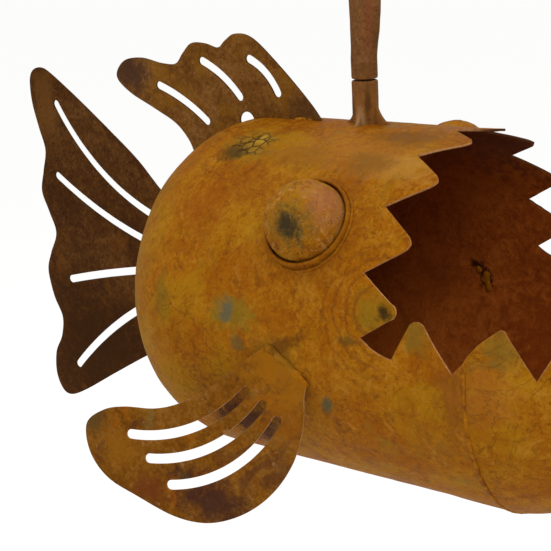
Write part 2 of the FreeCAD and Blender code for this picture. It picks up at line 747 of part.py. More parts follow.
def stub(shell):
    """Lower half of the swivel, welded on the fish's back."""
    top_z = dim("swivel_gap_low") - DROP
    foot_z = "%g - dims.hang_drop" % INSIDE
    outer = cylinder("stub_outer", "dims.tube_radius", "dims.swivel_gap_low - %g" % INSIDE, foot_z)
    inner = cylinder("stub_inner", "dims.tube_radius - dims.tube_wall", "60", foot_z)
    soft = rounded("stub_soft", outer, dim("end_chamfer"), [(top_z, dim("tube_radius"))])
    node(cut("stub_trim", cut("stub_bore", soft, inner), shell), "stub_tube")

    plug = cylinder("stub_plug_solid", "dims.tube_radius - dims.tube_wall",
                    "dims.stub_plug_length",
                    "dims.swivel_gap_low - dims.stub_plug_length - dims.hang_drop")
    hole = cylinder("stub_plug_hole", "dims.pin_radius", "60", foot_z)
    node(cut("stub_plug_cut", plug, hole), "stub_plug")

    # four gussets: the front one tall, the side ones lower, the rear one lowest
    hollow = 0.8
    triangles = []
    for name, height, reach, turn in (
            ("front", "front_gusset_height", "front_gusset_reach", 0),
            ("left", "side_gusset_height", "side_gusset_reach", 90),
            ("rear", "rear_gusset_height", "rear_gusset_reach", 180),
            ("right", "side_gusset_height", "side_gusset_reach", 270)):
        inside = dim("tube_radius") - 0.05
        foot = (inside + dim(reach), 148)
        crest = (inside, SHELL + dim(height))
        cheek = ((crest[0] + foot[0]) / 2 - hollow, (crest[1] + foot[1]) / 2 - hollow)
        body = doc.addObject("PartDesign::Body", "Body_gusset_" + name)
        sketch = new_sketch(body, "XZ_Plane")
        add_loop(sketch, [
            segment((inside, INSIDE), crest),
            three_point_arc(crest, cheek, foot),
            segment(foot, (foot[0], INSIDE)),
            segment((foot[0], INSIDE), (inside, INSIDE)),
        ])
        pad_plate(body, sketch, "dims.gusset_thick")
        body.Placement = FreeCAD.Placement(V(0, 0, -DROP), FreeCAD.Rotation(V(0, 0, 1), turn))
        triangles.append(body)
    group = fuse("gusset_group", triangles)
    tube_bar = cylinder("gusset_tube", "dims.tube_radius", "120", "100 - dims.hang_drop")
    node(cut("gusset_foot", cut("gusset_trim", group, tube_bar), shell), "stub_gussets")


def swivel():
    """Headed pin, its washer, and the bush that it turns in."""
    pin_low = "dims.swivel_gap_low - dims.stub_plug_length - dims.hang_drop"
    tube_low = "dims.swivel_gap_low + dims.swivel_gap - dims.hang_drop"
    bush = cylinder("bush_solid", "dims.tube_radius - dims.tube_wall",
                    "dims.hanger_bush_length", tube_low)
    bore = cylinder("bush_bore", "dims.pin_radius + dims.pin_clearance", "60", "-130")
    node(cut("bush_cut", bush, bore), "hanger_bush")

    seat = tube_low + " + dims.hanger_bush_length"
    disc = cylinder("washer_disc", "dims.washer_radius", "dims.washer_thick", seat)
    eye_hole = cylinder("washer_hole", "dims.pin_radius + 0.3", "60", "-130")
    node(cut("washer_cut", disc, eye_hole), "swivel_washer")

    head_low = seat + " + dims.washer_thick + dims.head_gap"
    shaft = cylinder("pin_shaft", "dims.pin_radius",
                     "dims.swivel_gap + dims.hanger_bush_length + dims.washer_thick"
                     " + dims.head_gap + dims.stub_plug_length", pin_low)
    head = cylinder("pin_head", "dims.head_radius", "dims.head_thick", head_low)
    node(fuse("pin_fuse", [shaft, head]), "swivel_pin")


def oval_wire(half_x, half_y, power, z):
    """A closed curve from round (power 2) to nearly rectangular."""
    points = []
    for k in range(OVAL_POINTS):
        angle = 2 * math.pi * k / OVAL_POINTS
        c, s = math.cos(angle), math.sin(angle)
        x = half_x * math.copysign(abs(c) ** (2 / power), c)
        y = half_y * math.copysign(abs(s) ** (2 / power), s)
        points.append(V(x, y, z))
    curve = Part.BSplineCurve()
    curve.interpolate(Points=points, PeriodicFlag=True)
    return Part.Wire([curve.toShape()])


def upright_bar(half_x, half_y, power, low, high):
    """A straight bar with one oval section."""
    return Part.Face(oval_wire(half_x, half_y, power, low)).extrude(V(0, 0, high - low))


def hanger_tube():
    """Tube whose top end is hammered flat, rounded off and drilled for a hook."""
    radius = dim("tube_radius")
    wall = dim("tube_wall")
    low = dim("swivel_gap_low") + dim("swivel_gap")
    round_end = dim("round_end")
    flat = dim("flat_start")
    half = dim("flat_half_width")
    # the flattening: half width, half thickness, squareness and height of each section
    ovals = [(radius, radius, 2.0, round_end), (radius + 0.4, radius - 0.5, 2.0, round_end + 5),
             (13.8, 7.6, 2.0, 228), (15.2, 5.2, 2.2, 251), (16.2, 3.0, 3.0, 270),
             (half, wall, 5.0, flat)]
    bores = [(radius - wall, radius - wall, 2.0, round_end),
             (radius + 0.4 - wall, radius - 0.5 - wall, 2.0, round_end + 5),
             (11.8, 5.6, 2.0, 228), (13.2, 3.2, 2.2, 251), (14.0, 1.0, 2.2, 266)]
    body = upright_bar(radius, radius, 2.0, low, round_end)
    foot = [e for e in body.Edges if e.isClosed() and abs(e.BoundBox.ZMax - low) < 0.01]
    body = body.makeFillet(dim("end_chamfer"), foot)
    skin = Part.makeLoft([oval_wire(*row) for row in ovals], True, False)
    tab = upright_bar(half, wall, 5.0, flat, DROP + half)
    bore = upright_bar(radius - wall, radius - wall, 2.0, low - 1, round_end)
    cavity = Part.makeLoft([oval_wire(*row) for row in bores], True, False)
    # the tab's end is rounded about the hole
    over = Part.makeBox(4 * half, 8 * wall, 2 * half, V(-2 * half, -4 * wall, DROP))
    keep = Part.makeCylinder(half - 0.4, 8 * wall, V(0, -4 * wall, DROP), V(0, 1, 0))
    hole = Part.makeCylinder(dim("hanger_hole_radius"), 40, V(0, -20, DROP), V(0, 1, 0))
    shape = body.fuse([skin, tab]).removeSplitter()
    shape = shape.cut(bore.fuse(cavity).removeSplitter())
    shape = shape.cut(over.cut(keep)).cut(hole)
    shape.translate(V(0, 0, -DROP))
    feature("hanger_tube", shape.Solids[0])


# ---------------------------------------------------------------- the whole part

rear_dome()
barrel()
chin_dome()
tail_fin()
dorsal_fin()
for prefix, side in SIDES:
    pectoral_fin(prefix + "_pectoral_fin", side)
shell = shell_solid("shell_bar", "dims.shell_radius")
shell_and_bead = shell_solid("shell_bead_bar", "dims.shell_radius + dims.eye_bead")
for prefix, side in SIDES:
    eye(prefix, side, shell, shell_and_bead)
welds()
stub(shell)
swivel()
hanger_tube()
doc.recompute()

for obj in doc.Objects:
    if "Invalid" in obj.State or "Error" in obj.State:
        raise RuntimeError("%s (%s) is %s" % (obj.Name, obj.Label, obj.State))
for obj in NODES:
    if obj.Shape.isNull() or not obj.Shape.isValid():
        raise RuntimeError("%s has no valid shape" % obj.Label)

os.makedirs("parts", exist_ok=True)
for obj in NODES:
    obj.Shape.exportStep("parts/%s.step" % obj.Label)
    box = obj.Shape.BoundBox
    print("%-20s %2d solid(s) %9.0f mm3  x %.1f..%.1f  y %.1f..%.1f  z %.1f..%.1f" % (
        obj.Label, len(obj.Shape.Solids), obj.Shape.Volume,
        box.XMin, box.XMax, box.YMin, box.YMax, box.ZMin, box.ZMax))
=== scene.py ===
"""A hanging fish of rusted, welded sheet steel: its visible meshes, finishes, studio and camera."""
import bmesh
import bpy
import numpy as np
from math import acos, asin, atan2, ceil, copysign, cos, degrees
from math import dist, hypot, pi, radians, sin, sqrt, tau
from mathutils import Matrix, Vector, noise
from mathutils.geometry import delaunay_2d_cdt


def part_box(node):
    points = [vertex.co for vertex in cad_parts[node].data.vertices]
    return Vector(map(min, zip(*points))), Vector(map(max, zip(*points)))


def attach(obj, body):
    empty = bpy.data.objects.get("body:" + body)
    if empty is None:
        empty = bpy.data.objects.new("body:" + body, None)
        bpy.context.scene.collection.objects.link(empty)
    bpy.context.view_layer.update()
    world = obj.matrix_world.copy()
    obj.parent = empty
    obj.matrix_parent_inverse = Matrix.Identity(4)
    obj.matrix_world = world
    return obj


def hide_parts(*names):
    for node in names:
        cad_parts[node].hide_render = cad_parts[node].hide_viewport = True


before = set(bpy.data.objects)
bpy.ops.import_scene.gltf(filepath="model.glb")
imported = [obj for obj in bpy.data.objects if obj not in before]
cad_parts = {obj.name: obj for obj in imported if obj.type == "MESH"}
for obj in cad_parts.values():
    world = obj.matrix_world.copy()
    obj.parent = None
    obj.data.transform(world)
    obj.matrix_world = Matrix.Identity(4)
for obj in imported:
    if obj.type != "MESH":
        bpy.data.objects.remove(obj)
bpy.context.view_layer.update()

# ---- sizes
# Outlines below are in millimetres from the fish's own axis: x runs to the mouth, z up.
# row() turns them into the frame's metres.

MM = 0.001
barrel_low, barrel_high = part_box("barrel")
AXIS_Z = (barrel_low.z + barrel_high.z) / 2
SHELL = (barrel_high.z - barrel_low.z) / 2 / MM
REAR_SEAM = barrel_low.x / MM
CHIN_SEAM = barrel_high.x / MM
WALL = 2.0                   # the shell's and the eyeballs' sheet

KNUCKLE = 95.0               # the rear end's rounded shoulder, and the crown it runs into
CROWN = 205.0
KNUCKLE_SWEEP = acos((SHELL - KNUCKLE) / (CROWN - KNUCKLE))
CROWN_SWEEP = pi / 2 - KNUCKLE_SWEEP
CROWN_X = REAR_SEAM + (CROWN - KNUCKLE) * sin(KNUCKLE_SWEEP)
CHIN = 152.0
CHIN_X = CHIN_SEAM - sqrt(CHIN ** 2 - SHELL ** 2)

UPPER_PITCH = 21.4           # degrees between the upper teeth
UPPER_MIDDLE = 89.3          # where the row's middle notch is, degrees up from the right side
UPPER_NOTCHES = 5            # those over the top; jaw_line() holds the lower ones
UPPER_ROOT = 83.0            # x of the notches and of the tips
UPPER_TIP = 115.5
FRONT_PITCH = 20.5           # degrees between the chin's teeth
FRONT_NOTCHES = 7
FRONT_ROOT = 4.9             # height of the notches and of the tips
FRONT_TIP = 40.0
TOOTH_ROUND = 6.0            # length of a flank that rounds over at the tip

EYE_X = 22.0
EYE_UP = {-1: 38.0, 1: 43.0}    # degrees above the horizontal, right and left
EYE_LIP = 155.0              # height of the ring's lip over the fish's axis
EYE_BALL = 33.0
EYE_BALL_AT = 152.0
EYE_RING = 37.5
EYE_SHEET = 3.0
BITE = 0.9                   # how far the eyes' feet sink into the barrel's surface

STUB_LOW = 146.0
STUB_TOP = 186.4
TUBE = 11.0
TUBE_STEPS = 72
HANGER_LOW = 187.8
HANGER_TOP = 300.0           # the tab's hole, over the fish's axis
BOW_START = 205.0            # where the hanger tube starts to bow forward, and by how much
BOW = 2.4

SIDES = {"right": -1, "left": 1}
RING_GAP = 9.5               # between the hammered rings round the lowest upper tooth


def row(x, y, z):
    return Vector((x * MM, y * MM, z * MM + AXIS_Z))


def ring_centre(side):
    """The middle of the hammered rings on one side of the jaw."""
    return 104, side * 146, 40


# ---- outlines

def arc(a, b, c, step=2.0):
    """Points on the circle from a through b to c."""
    (ax, ay), (bx, by), (cx, cy) = a, b, c
    d = 2 * (ax * (by - cy) + bx * (cy - ay) + cx * (ay - by))
    if abs(d) < 1e-6:
        return [a, b, c]
    sa, sb, sc = ax * ax + ay * ay, bx * bx + by * by, cx * cx + cy * cy
    ux = (sa * (by - cy) + sb * (cy - ay) + sc * (ay - by)) / d
    uy = (sa * (cx - bx) + sb * (ax - cx) + sc * (bx - ax)) / d
    radius = hypot(ax - ux, ay - uy)
    start = atan2(ay - uy, ax - ux)
    through = (atan2(by - uy, bx - ux) - start) % tau
    sweep = (atan2(cy - uy, cx - ux) - start) % tau
    if through > sweep:
        sweep -= tau
    count = max(2, ceil(abs(sweep) * radius / step))
    turns = [start + sweep * k / count for k in range(count + 1)]
    return [(ux + radius * cos(t), uy + radius * sin(t)) for t in turns]


def spline(points, step=2.5):
    """A smooth curve through the points, which it starts and ends at."""
    out = []
    ends = [points[0]] + points + [points[-1]]
    for p0, p1, p2, p3 in zip(ends, ends[1:], ends[2:], ends[3:]):
        count = max(2, ceil(dist(p1, p2) / step))
        for k in range(count):
            t = k / count
            out.append(tuple(
                0.5 * (2 * b + (c - a) * t + (2 * a - 5 * b + 4 * c - d) * t ** 2
                       + (3 * b - a - 3 * c + d) * t ** 3)
                for a, b, c, d in zip(p0, p1, p2, p3)))
    return out + [points[-1]]


def divided(points, step=2.2):
    """The same run of points with its long straights divided."""
    out = []
    for a, b in zip(points, points[1:]):
        count = max(1, ceil(dist(a, b) / step))
        out += [tuple(p + (q - p) * k / count for p, q in zip(a, b)) for k in range(count)]
    return out + [points[-1]]


def tooth_flank(half, depth):
    """One side of a notch from its apex to half its width, rounded over at the tooth's tip."""
    turn = (half - TOOTH_ROUND, depth - 0.6 * TOOTH_ROUND)
    crest = (half - 0.46 * TOOTH_ROUND, depth - 0.2 * TOOTH_ROUND)
    return divided([(0.0, 0.0), turn])[:-1] + arc(turn, crest, (half, depth), 1.0)


def slot(start, middle, end, width):
    """A curved slot with round ends."""
    line = np.array(arc(start, middle, end, 3.0))
    along = np.gradient(line, axis=0)
    along /= np.linalg.norm(along, axis=1)[:, None]
    across = np.column_stack((-along[:, 1], along[:, 0])) * width / 2

    def round_end(centre, side):
        turns = [-pi * k / 6 for k in range(1, 6)]
        return [(centre[0] + side[0] * cos(t) - side[1] * sin(t),
                 centre[1] + side[0] * sin(t) + side[1] * cos(t)) for t in turns]

    return ([tuple(p) for p in line + across] + round_end(line[-1], across[-1])
            + [tuple(p) for p in (line - across)[::-1]] + round_end(line[0], -across[0]))


def turned(centre, radius, start, end, step=2.0):
    """An arc about a centre, by its angles in degrees."""
    count = max(2, ceil(abs(radians(end - start)) * radius / step))
    turns = [radians(start + (end - start) * k / count) for k in range(count + 1)]
    return [(centre[0] + radius * cos(t), centre[1] + radius * sin(t)) for t in turns]


# ---- sheet meshes

def inside(points, loops):
    """Which points lie within the loops, by counting the edges above each."""
    x, y = points[:, 0], points[:, 1]
    odd = np.zeros(len(points), bool)
    for loop in loops:
        a = np.array(loop)
        b = np.roll(a, -1, axis=0)
        for (ax, ay), (bx, by) in zip(a, b):
            if ax == bx:
                continue
            spans = (ax > x) != (bx > x)
            odd ^= spans & (y < ay + (x - ax) * (by - ay) / (bx - ax))
    return odd


def triangles(loops, spacing):
    """An even net of triangles over the area inside the loops, with their points kept exactly."""
    border = np.array([p for loop in loops for p in loop])
    low, high = border.min(0), border.max(0)
    rows = np.arange(low[1], high[1], spacing * 0.866)
    net = np.array([(x + (k % 2) * spacing / 2, y) for k, y in enumerate(rows)
                    for x in np.arange(low[0], high[0], spacing)])
    net = net[inside(net, loops)]
    keep = np.ones(len(net), bool)
    for p in border:
        keep &= ((net - p) ** 2).sum(1) > (spacing * 0.55) ** 2
    points = np.vstack((border, net[keep]))
    edges, start = [], 0
    for loop in loops:
        edges += [(start + k, start + (k + 1) % len(loop)) for k in range(len(loop))]
        start += len(loop)
    done = delaunay_2d_cdt([Vector(p) for p in points], edges, [], 0, 1e-5)
    flat = np.array([tuple(p) for p in done[0]])
    tris = np.array(done[2])
    return flat, tris[inside(flat[tris].mean(1), loops)]


def sheet(loops, spacing, place, thickness, relief):
    """Vertices and faces of a sheet laid over a surface, with dents, an inner skin and a cut edge.

    place gives a point and the outward direction there, in millimetres; relief gives the dent's
    height. Faces come as three lists: outer skin, inner skin and edge."""
    flat, tris = triangles(loops, spacing)
    index, points, ways, number = {}, [], [], []
    for u, v in flat:
        point, way = place(u, v)
        key = tuple(round(c, 3) for c in point)
        if key not in index:
            index[key] = len(points)
            points.append(point)
            ways.append(way)
        number.append(index[key])
    tris = np.array(number)[tris]
    points, ways = np.array(points), np.array(ways)
    a, b, c = (points[tris[:, k]] for k in range(3))
    facing = (np.cross(b - a, c - a) * ways[tris[:, 0]]).sum(1)
    tris[facing < 0] = tris[facing < 0][:, ::-1]
    height = np.array([relief(Vector(p)) for p in points])[:, None]
    outer = points + ways * height
    inner = points + ways * (height - thickness)
    below = len(points)
    faces = tris.tolist()
    sides = dict.fromkeys(side for t in faces for side in zip(t, t[1:] + t[:1]))
    edge = [(q, p, p + below, q + below) for p, q in sides if (q, p) not in sides]
    return np.vstack((outer, inner)), faces, (tris[:, ::-1] + below).tolist(), edge


def rippled(p, size, height, seed):
    """A smooth random height at p, with waves about size long."""
    return height * noise.noise(p / size + Vector((seed, seed * 1.7, -seed)))


def worked(p):
    """Hand-worked sheet: slow dents, small hammer marks and fine roughness."""
    return (rippled(p, 58, 0.9, 3.1) + rippled(p, 21, 0.35, 7.7)
            + rippled(p, 8, 0.10, 1.3))


def flat_sheet(p):
    """Flame-cut flat sheet: slightly wavy, nearly smooth."""
    return rippled(p, 70, 0.7, 5.2) + rippled(p, 16, 0.16, 2.9)


# ---- pieces

scene = bpy.context.scene


def link(obj):
    scene.collection.objects.link(obj)
    return obj


def piece(name, points, faces, finishes, nodes, body="fish"):
    """A mesh piece in place of CAD nodes. faces is a list of face lists, one for each finish."""
    mesh = bpy.data.meshes.new(name)
    mesh.from_pydata([row(*p) for p in points], [], [f for part in faces for f in part])
    for finish in finishes:
        mesh.materials.append(finish)
    number = [k for k, part in enumerate(faces) for _ in part]
    mesh.polygons.foreach_set("material_index", number)
    mesh.shade_smooth()
    mesh.update()
    obj = link(bpy.data.objects.new(name, mesh))
    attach(obj, body)
    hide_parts(*nodes)
    return obj


def rounded_rim(obj, width, angle=50):
    """Rounds the sharp edges a little, as worn sheet edges are."""
    bevel = obj.modifiers.new("rim", "BEVEL")
    bevel.width = width * MM
    bevel.segments = 2
    bevel.limit_method = "ANGLE"
    bevel.angle_limit = radians(angle)


def sheet_piece(name, loops, spacing, place, thickness, relief, finishes, nodes):
    points, outer, inner, edge = sheet(loops, spacing, place, thickness, relief)
    rounded_rim(piece(name, points, [outer, inner, edge], finishes, nodes), 0.45)


def merged(parts):
    """Several (points, faces) as one."""
    points, faces = [], []
    for more, sides in parts:
        faces += [tuple(i + len(points) for i in face) for face in sides]
        points += more
    return points, faces


def bands(count, size, closed=False):
    """The faces between rings of points: count rings, of size points each."""
    faces = []
    for k in range(count if closed else count - 1):
        a, b = k * size, (k + 1) % count * size
        for j in range(size):
            i = (j + 1) % size
            faces.append((a + j, a + i, b + i, b + j))
    return faces


def lathe(profile, steps, centre, axis, side, shape):
    """Points and faces turned from a profile of (radius, height) about an axis.

    shape moves each point, by its direction out and its number in the profile."""
    axis, side = Vector(axis).normalized(), Vector(side).normalized()
    other = axis.cross(side)
    points, faces = [], []
    for k in range(steps):
        t = tau * k / steps
        out = side * cos(t) + other * sin(t)
        for n, (radius, height) in enumerate(profile):
            p = Vector(centre) + out * radius + axis * height
            points.append(shape(p, out, n))
    size = len(profile)
    for k in range(steps):
        a, b = k * size, (k + 1) % steps * size
        for n in range(size - 1):
            faces.append((a + n, b + n, b + n + 1, a + n + 1))
        faces.append((a + size - 1, b + size - 1, b, a))
    return points, faces


def ribbon(line, normals, radius, closed, seed, flat=1.0):
    """A weld bead along a line: a tube whose width and height wander."""
    count, ring = len(line), 10
    points = []
    for k, (p, n) in enumerate(zip(line, normals)):
        before = line[k - 1] if k or closed else line[0]
        after = line[(k + 1) % count] if k + 1 < count or closed else line[-1]
        along = (Vector(after) - Vector(before)).normalized()
        up = Vector(n)
        across = along.cross(up).normalized()
        p = Vector(p)
        size = radius * (1 + 0.30 * noise.noise(p / 4.5 + Vector((seed, 0, 0)))
                         + 0.12 * noise.noise(p / 1.7))
        if not closed:
            size *= min(1.0, 0.45 + 0.9 * min(k, count - 1 - k) / 3)
        drift = 0.35 * radius * noise.noise(p / 9 + Vector((0, seed, 0)))
        for j in range(ring):
            t = tau * j / ring
            points.append(p + across * (size * cos(t) + drift)
                          + up * size * flat * sin(t))
    faces = bands(count, ring, closed)
    if not closed:
        faces.append(tuple(range(ring))[::-1])
        faces.append(tuple(range((count - 1) * ring, count * ring)))
    return points, faces


# ---- finishes

def tone(red, green, blue):
    """A screen colour, 0 to 255, as the linear colour that shaders take."""
    out = []
    for c in (red, green, blue):
        c /= 255
        out.append(c / 12.92 if c <= 0.04045 else ((c + 0.055) / 1.055) ** 2.4)
    return (*out, 1.0)


class Finish:
    """A node material, built up from layers of colour, roughness and height."""

    def __init__(self, name, specular, metallic=0.0):
        self.material = bpy.data.materials.new(name)
        self.material.use_nodes = True
        self.tree = self.material.node_tree
        self.shader = self.tree.nodes["Principled BSDF"]
        self.feed(self.shader, {"Specular IOR Level": specular, "Metallic": metallic})
        self.place = self.add("ShaderNodeTexCoord").outputs["Object"]

    def feed(self, node, sockets):
        """Sets each of a node's sockets to a value, or joins it to another node's result."""
        for key, value in dict(sockets).items():
            if isinstance(value, bpy.types.NodeSocket):
                self.tree.links.new(value, node.inputs[key])
            else:
                node.inputs[key].default_value = value

    def add(self, kind, sockets=(), **settings):
        made = self.tree.nodes.new(kind)
        for key, value in settings.items():
            setattr(made, key, value)
        self.feed(made, sockets)
        return made

    def stretched(self, scale):
        """The place scaled unevenly, for streaks along one direction."""
        return self.add("ShaderNodeMapping",
                        {"Vector": self.place, "Scale": scale}).outputs["Vector"]

    def cloud(self, scale, detail, rough, swirl=0.0, place=None, seed=0.0):
        return self.add("ShaderNodeTexNoise", {
            "Vector": place or self.place, "W": seed, "Scale": scale, "Detail": detail,
            "Roughness": rough, "Distortion": swirl}, noise_dimensions="4D").outputs["Fac"]

    def cells(self, scale, feature="F1"):
        return self.add("ShaderNodeTexVoronoi", {"Vector": self.place, "Scale": scale},
                        feature=feature).outputs["Distance"]

    def math(self, kind, *values):
        return self.add("ShaderNodeMath", enumerate(values), operation=kind).outputs[0]

    def total(self, *parts, start=0.0):
        """The parts added up, each times its share."""
        for value, share in parts[::-1]:
            start = self.math("MULTIPLY_ADD", value, share, start)
        return start

    def times(self, value, *others):
        for other in others:
            value = self.math("MULTIPLY", value, other)
        return value

    def between(self, value, low, high, to_low=0.0, to_high=1.0):
        """A smooth step from to_low at low to to_high at high."""
        return self.add("ShaderNodeMapRange", {
            "Value": value, "From Min": low, "From Max": high, "To Min": to_low,
            "To Max": to_high}, interpolation_type="SMOOTHSTEP").outputs["Result"]

    def ramp(self, value, stops):
        made = self.add("ShaderNodeValToRGB", {"Fac": value})
        made.color_ramp.interpolation = "B_SPLINE"
        elements = made.color_ramp.elements
        while len(elements) < len(stops):
            elements.new(1.0)
        for element, (at, paint) in zip(elements, stops):
            element.position = at
            element.color = tone(*paint)
        return made.outputs["Color"]

    def over(self, base, paint, share, strength):
        """A screen colour laid over base where share says, at the strength given."""
        return self.add("ShaderNodeMix", {
            0: self.times(share, strength), 6: base, 7: tone(*paint)},
            data_type="RGBA").outputs[2]

    def reach(self, centre, size, turn=(0, 0, 0)):
        """How far out a place is from centre, in the patch's half sizes."""
        local = self.add("ShaderNodeMapping", {
            "Vector": self.place, "Location": row(*centre), "Scale": [s * MM for s in size],
            "Rotation": [radians(t) for t in turn]}, vector_type="TEXTURE")
        return self.add("ShaderNodeVectorMath", {0: local.outputs["Vector"]},
                        operation="LENGTH").outputs["Value"]

    def near(self, centre, size, turn=(0, 0, 0), ragged=1.1):
        """1 within an oval patch about centre, falling to 0 at its ragged edge."""
        wander = self.total((self.cloud(110.0, 6.0, 0.7, 0.6), ragged * 2), start=-ragged)
        return self.between(self.math("ADD", self.reach(centre, size, turn), wander), 1.0, 0.25)

    def along(self, axis):
        """How far along one axis a place is."""
        return self.add("ShaderNodeSeparateXYZ", {"Vector": self.place}).outputs[axis]

    def bumped(self, height, strength, distance):
        bump = self.add("ShaderNodeBump", {
            "Strength": strength, "Distance": distance * MM, "Height": height})
        self.feed(self.shader, {"Normal": bump.outputs["Normal"]})

    def finished(self, colour, roughness):
        self.feed(self.shader, {"Base Color": colour, "Roughness": roughness})
        return self.material


RUST_GLOSS = 0.025
RUST_TINT = (1.0, 0.50, 0.12, 1.0)
PIT = (58, 32, 10)


def rust(name, stops, seed, layers=(), patches=(), veins=None, bump=0.7):
    """Rust: slow blotches and fine grain, swirled stains over them, pits, and patches on top, among
    them painted shade and a painted highlight.
    """
    made = Finish(name, RUST_GLOSS)
    made.feed(made.shader, {"Specular Tint": RUST_TINT})
    slow = made.cloud(9.0, 5.0, 0.55, 0.8, seed=seed)
    stain = made.cloud(37.8, 8.0, 0.66, 1.8, seed=seed + 1)
    grain = made.cloud(300.0, 5.0, 0.75, 0.4, seed=seed + 2)
    colour = made.ramp(made.total((slow, 0.7), (stain, 0.8), (grain, 1.1), start=-0.8), stops)
    for number, (paint, scale, swirl, low, high, strength) in enumerate(layers):
        blots = made.cloud(scale, 7.0, 0.64, swirl, seed=seed + 3 + number)
        colour = made.over(colour, paint, made.between(blots, low, high), strength)
    crease = 0.0
    if veins:
        winding = made.cloud(14.0, 4.5, 0.52, 2.6, seed=seed + 20)
        apart = made.math("ABSOLUTE", made.math("SUBTRACT", winding, 0.5))
        where = made.cloud(7.0, 3.0, 0.6, 0.5, seed=seed + 21)
        crease = made.times(made.between(apart, 0.012, 0.0), made.between(where, 0.50, 0.64))
        colour = made.over(colour, veins, crease, 0.5)
    for paint, centre, size, strength, *turn in patches:
        colour = made.over(colour, paint, made.near(centre, size, *turn), strength)
    where = made.cloud(45.0, 4.0, 0.65, seed=seed + 22)
    pits = made.times(made.between(made.cells(420.0), 0.28, 0.08), made.between(where, 0.48, 0.60))
    colour = made.over(colour, PIT, pits, 0.4)
    made.bumped(made.total((crease, -0.5), (stain, 1.3), (grain, 0.6), (pits, -0.6)), bump, 1.2)
    return made, colour, made.between(stain, 0.35, 0.7, 0.52, 0.74)


# Patches: screen colour, centre, half sizes, strength and, where it is turned, by how many degrees.
BODY_MARKS_AND_SHADE = [
    ((106, 56, 16), (24, -124, 96), (66, 56, 72), 0.45),
    # These two patches make the top of the body paler.
    ((148, 102, 40), (40, -60, 142), (110, 50, 26), 0.35),
    ((156, 112, 52), (70, -72, 132), (60, 28, 20), 0.35),
    ((102, 66, 22), (60, -30, 147), (38, 22, 14), 0.8),
    ((108, 70, 22), (47, -70, 132), (30, 20, 20), 0.75),
    ((112, 66, 18), (-20, -70, 132), (50, 26, 18), 0.45),
    ((122, 92, 14), (-150, -90, 10), (60, 70, 150), 0.55),
    ((90, 78, 22), (-110, -148, 22), (14, 26, 30), 0.45),
    ((116, 56, 8), (-84, -118, 96), (36, 40, 46), 0.5),
    ((114, 58, 8), (-50, -98, 114), (54, 26, 26), 0.45, (0, -20, 0)),
    ((120, 90, 26), (-78, -60, 137), (32, 32, 19), 0.9),
    ((66, 48, 18), (-88, -70, 132), (19, 19, 12), 0.85),
    ((152, 118, 38), (-72, -54, 140), (13, 11, 9), 0.8),
    ((104, 90, 24), (-34, -149, 20), (34, 14, 20), 0.6),
    ((84, 78, 56), (-41.4, -148.4, 21.8), (11, 12, 14), 0.95),
    ((88, 72, 36), (-30, -150, -3.6), (12, 9, 9), 0.75),
    ((76, 70, 42), (51.3, -144, -42.1), (7, 9, 13), 0.95, (0, 18, 0)),
    ((114, 86, 16), (98, -144.8, 39), (26, 16, 24), 0.65),
    ((54, 38, 14), (105.5, -144.4, 40.5), (9, 10, 9), 1.0),
    ((84, 60, 20), (78.4, -149, 15.5), (15, 6, 5), 0.75),
    ((96, 74, 24), (134, -147, 30), (15, 12, 24), 0.65, (0, -12, 0)),
    ((98, 72, 22), (8, -150, -6), (34, 12, 20), 0.5),
    # Painted shadow: a dark streak on the body just above the right side fin's root.
    ((78, 40, 12), (14, -150, 0), (46, 10, 7), 0.6, (0, -32, 0)),
    ((96, 44, 14), (163, -149, -12), (17, 20, 46), 0.55),
    ((142, 86, 34), (188, -146, -8), (40, 20, 34), 0.35),
    ((100, 78, 26), (197, -139, 26), (24, 16, 20), 0.65),
    # Painted shadow: the belly darkened behind the right side fin, where the fin shades it; it
    # shows through the fin's slots.
    ((58, 27, 9), (-42, -128, -80), (56, 60, 42), 0.9),
]
ORANGE = [(0.14, (94, 50, 8)), (0.36, (122, 68, 7)), (0.50, (134, 79, 8)),
          (0.64, (142, 90, 14)), (0.86, (152, 106, 34))]
BROWN = [(0.16, (42, 20, 7)), (0.42, (58, 31, 9)), (0.60, (72, 42, 14)),
         (0.84, (96, 64, 32))]
DORSAL = [(0.16, (62, 36, 14)), (0.42, (88, 53, 16)), (0.60, (102, 65, 24)),
          (0.84, (124, 88, 50))]
FIN = [(0.16, (66, 36, 12)), (0.42, (98, 56, 10)), (0.60, (110, 68, 14)),
       (0.84, (128, 88, 40))]
TUBE_TONES = [(0.20, (80, 48, 24)), (0.42, (98, 63, 32)), (0.60, (108, 71, 38)),
              (0.82, (124, 86, 54))]
INNER = [(0.16, (114, 52, 22)), (0.45, (148, 74, 22)), (0.62, (156, 82, 26)),
         (0.86, (164, 94, 42))]
EDGE = [(0.20, (104, 58, 26)), (0.45, (152, 100, 56)), (0.62, (168, 120, 78)),
        (0.84, (184, 142, 104))]
DARK_EDGE = [(0.20, (36, 22, 12)), (0.5, (58, 36, 18)), (0.8, (76, 50, 28))]

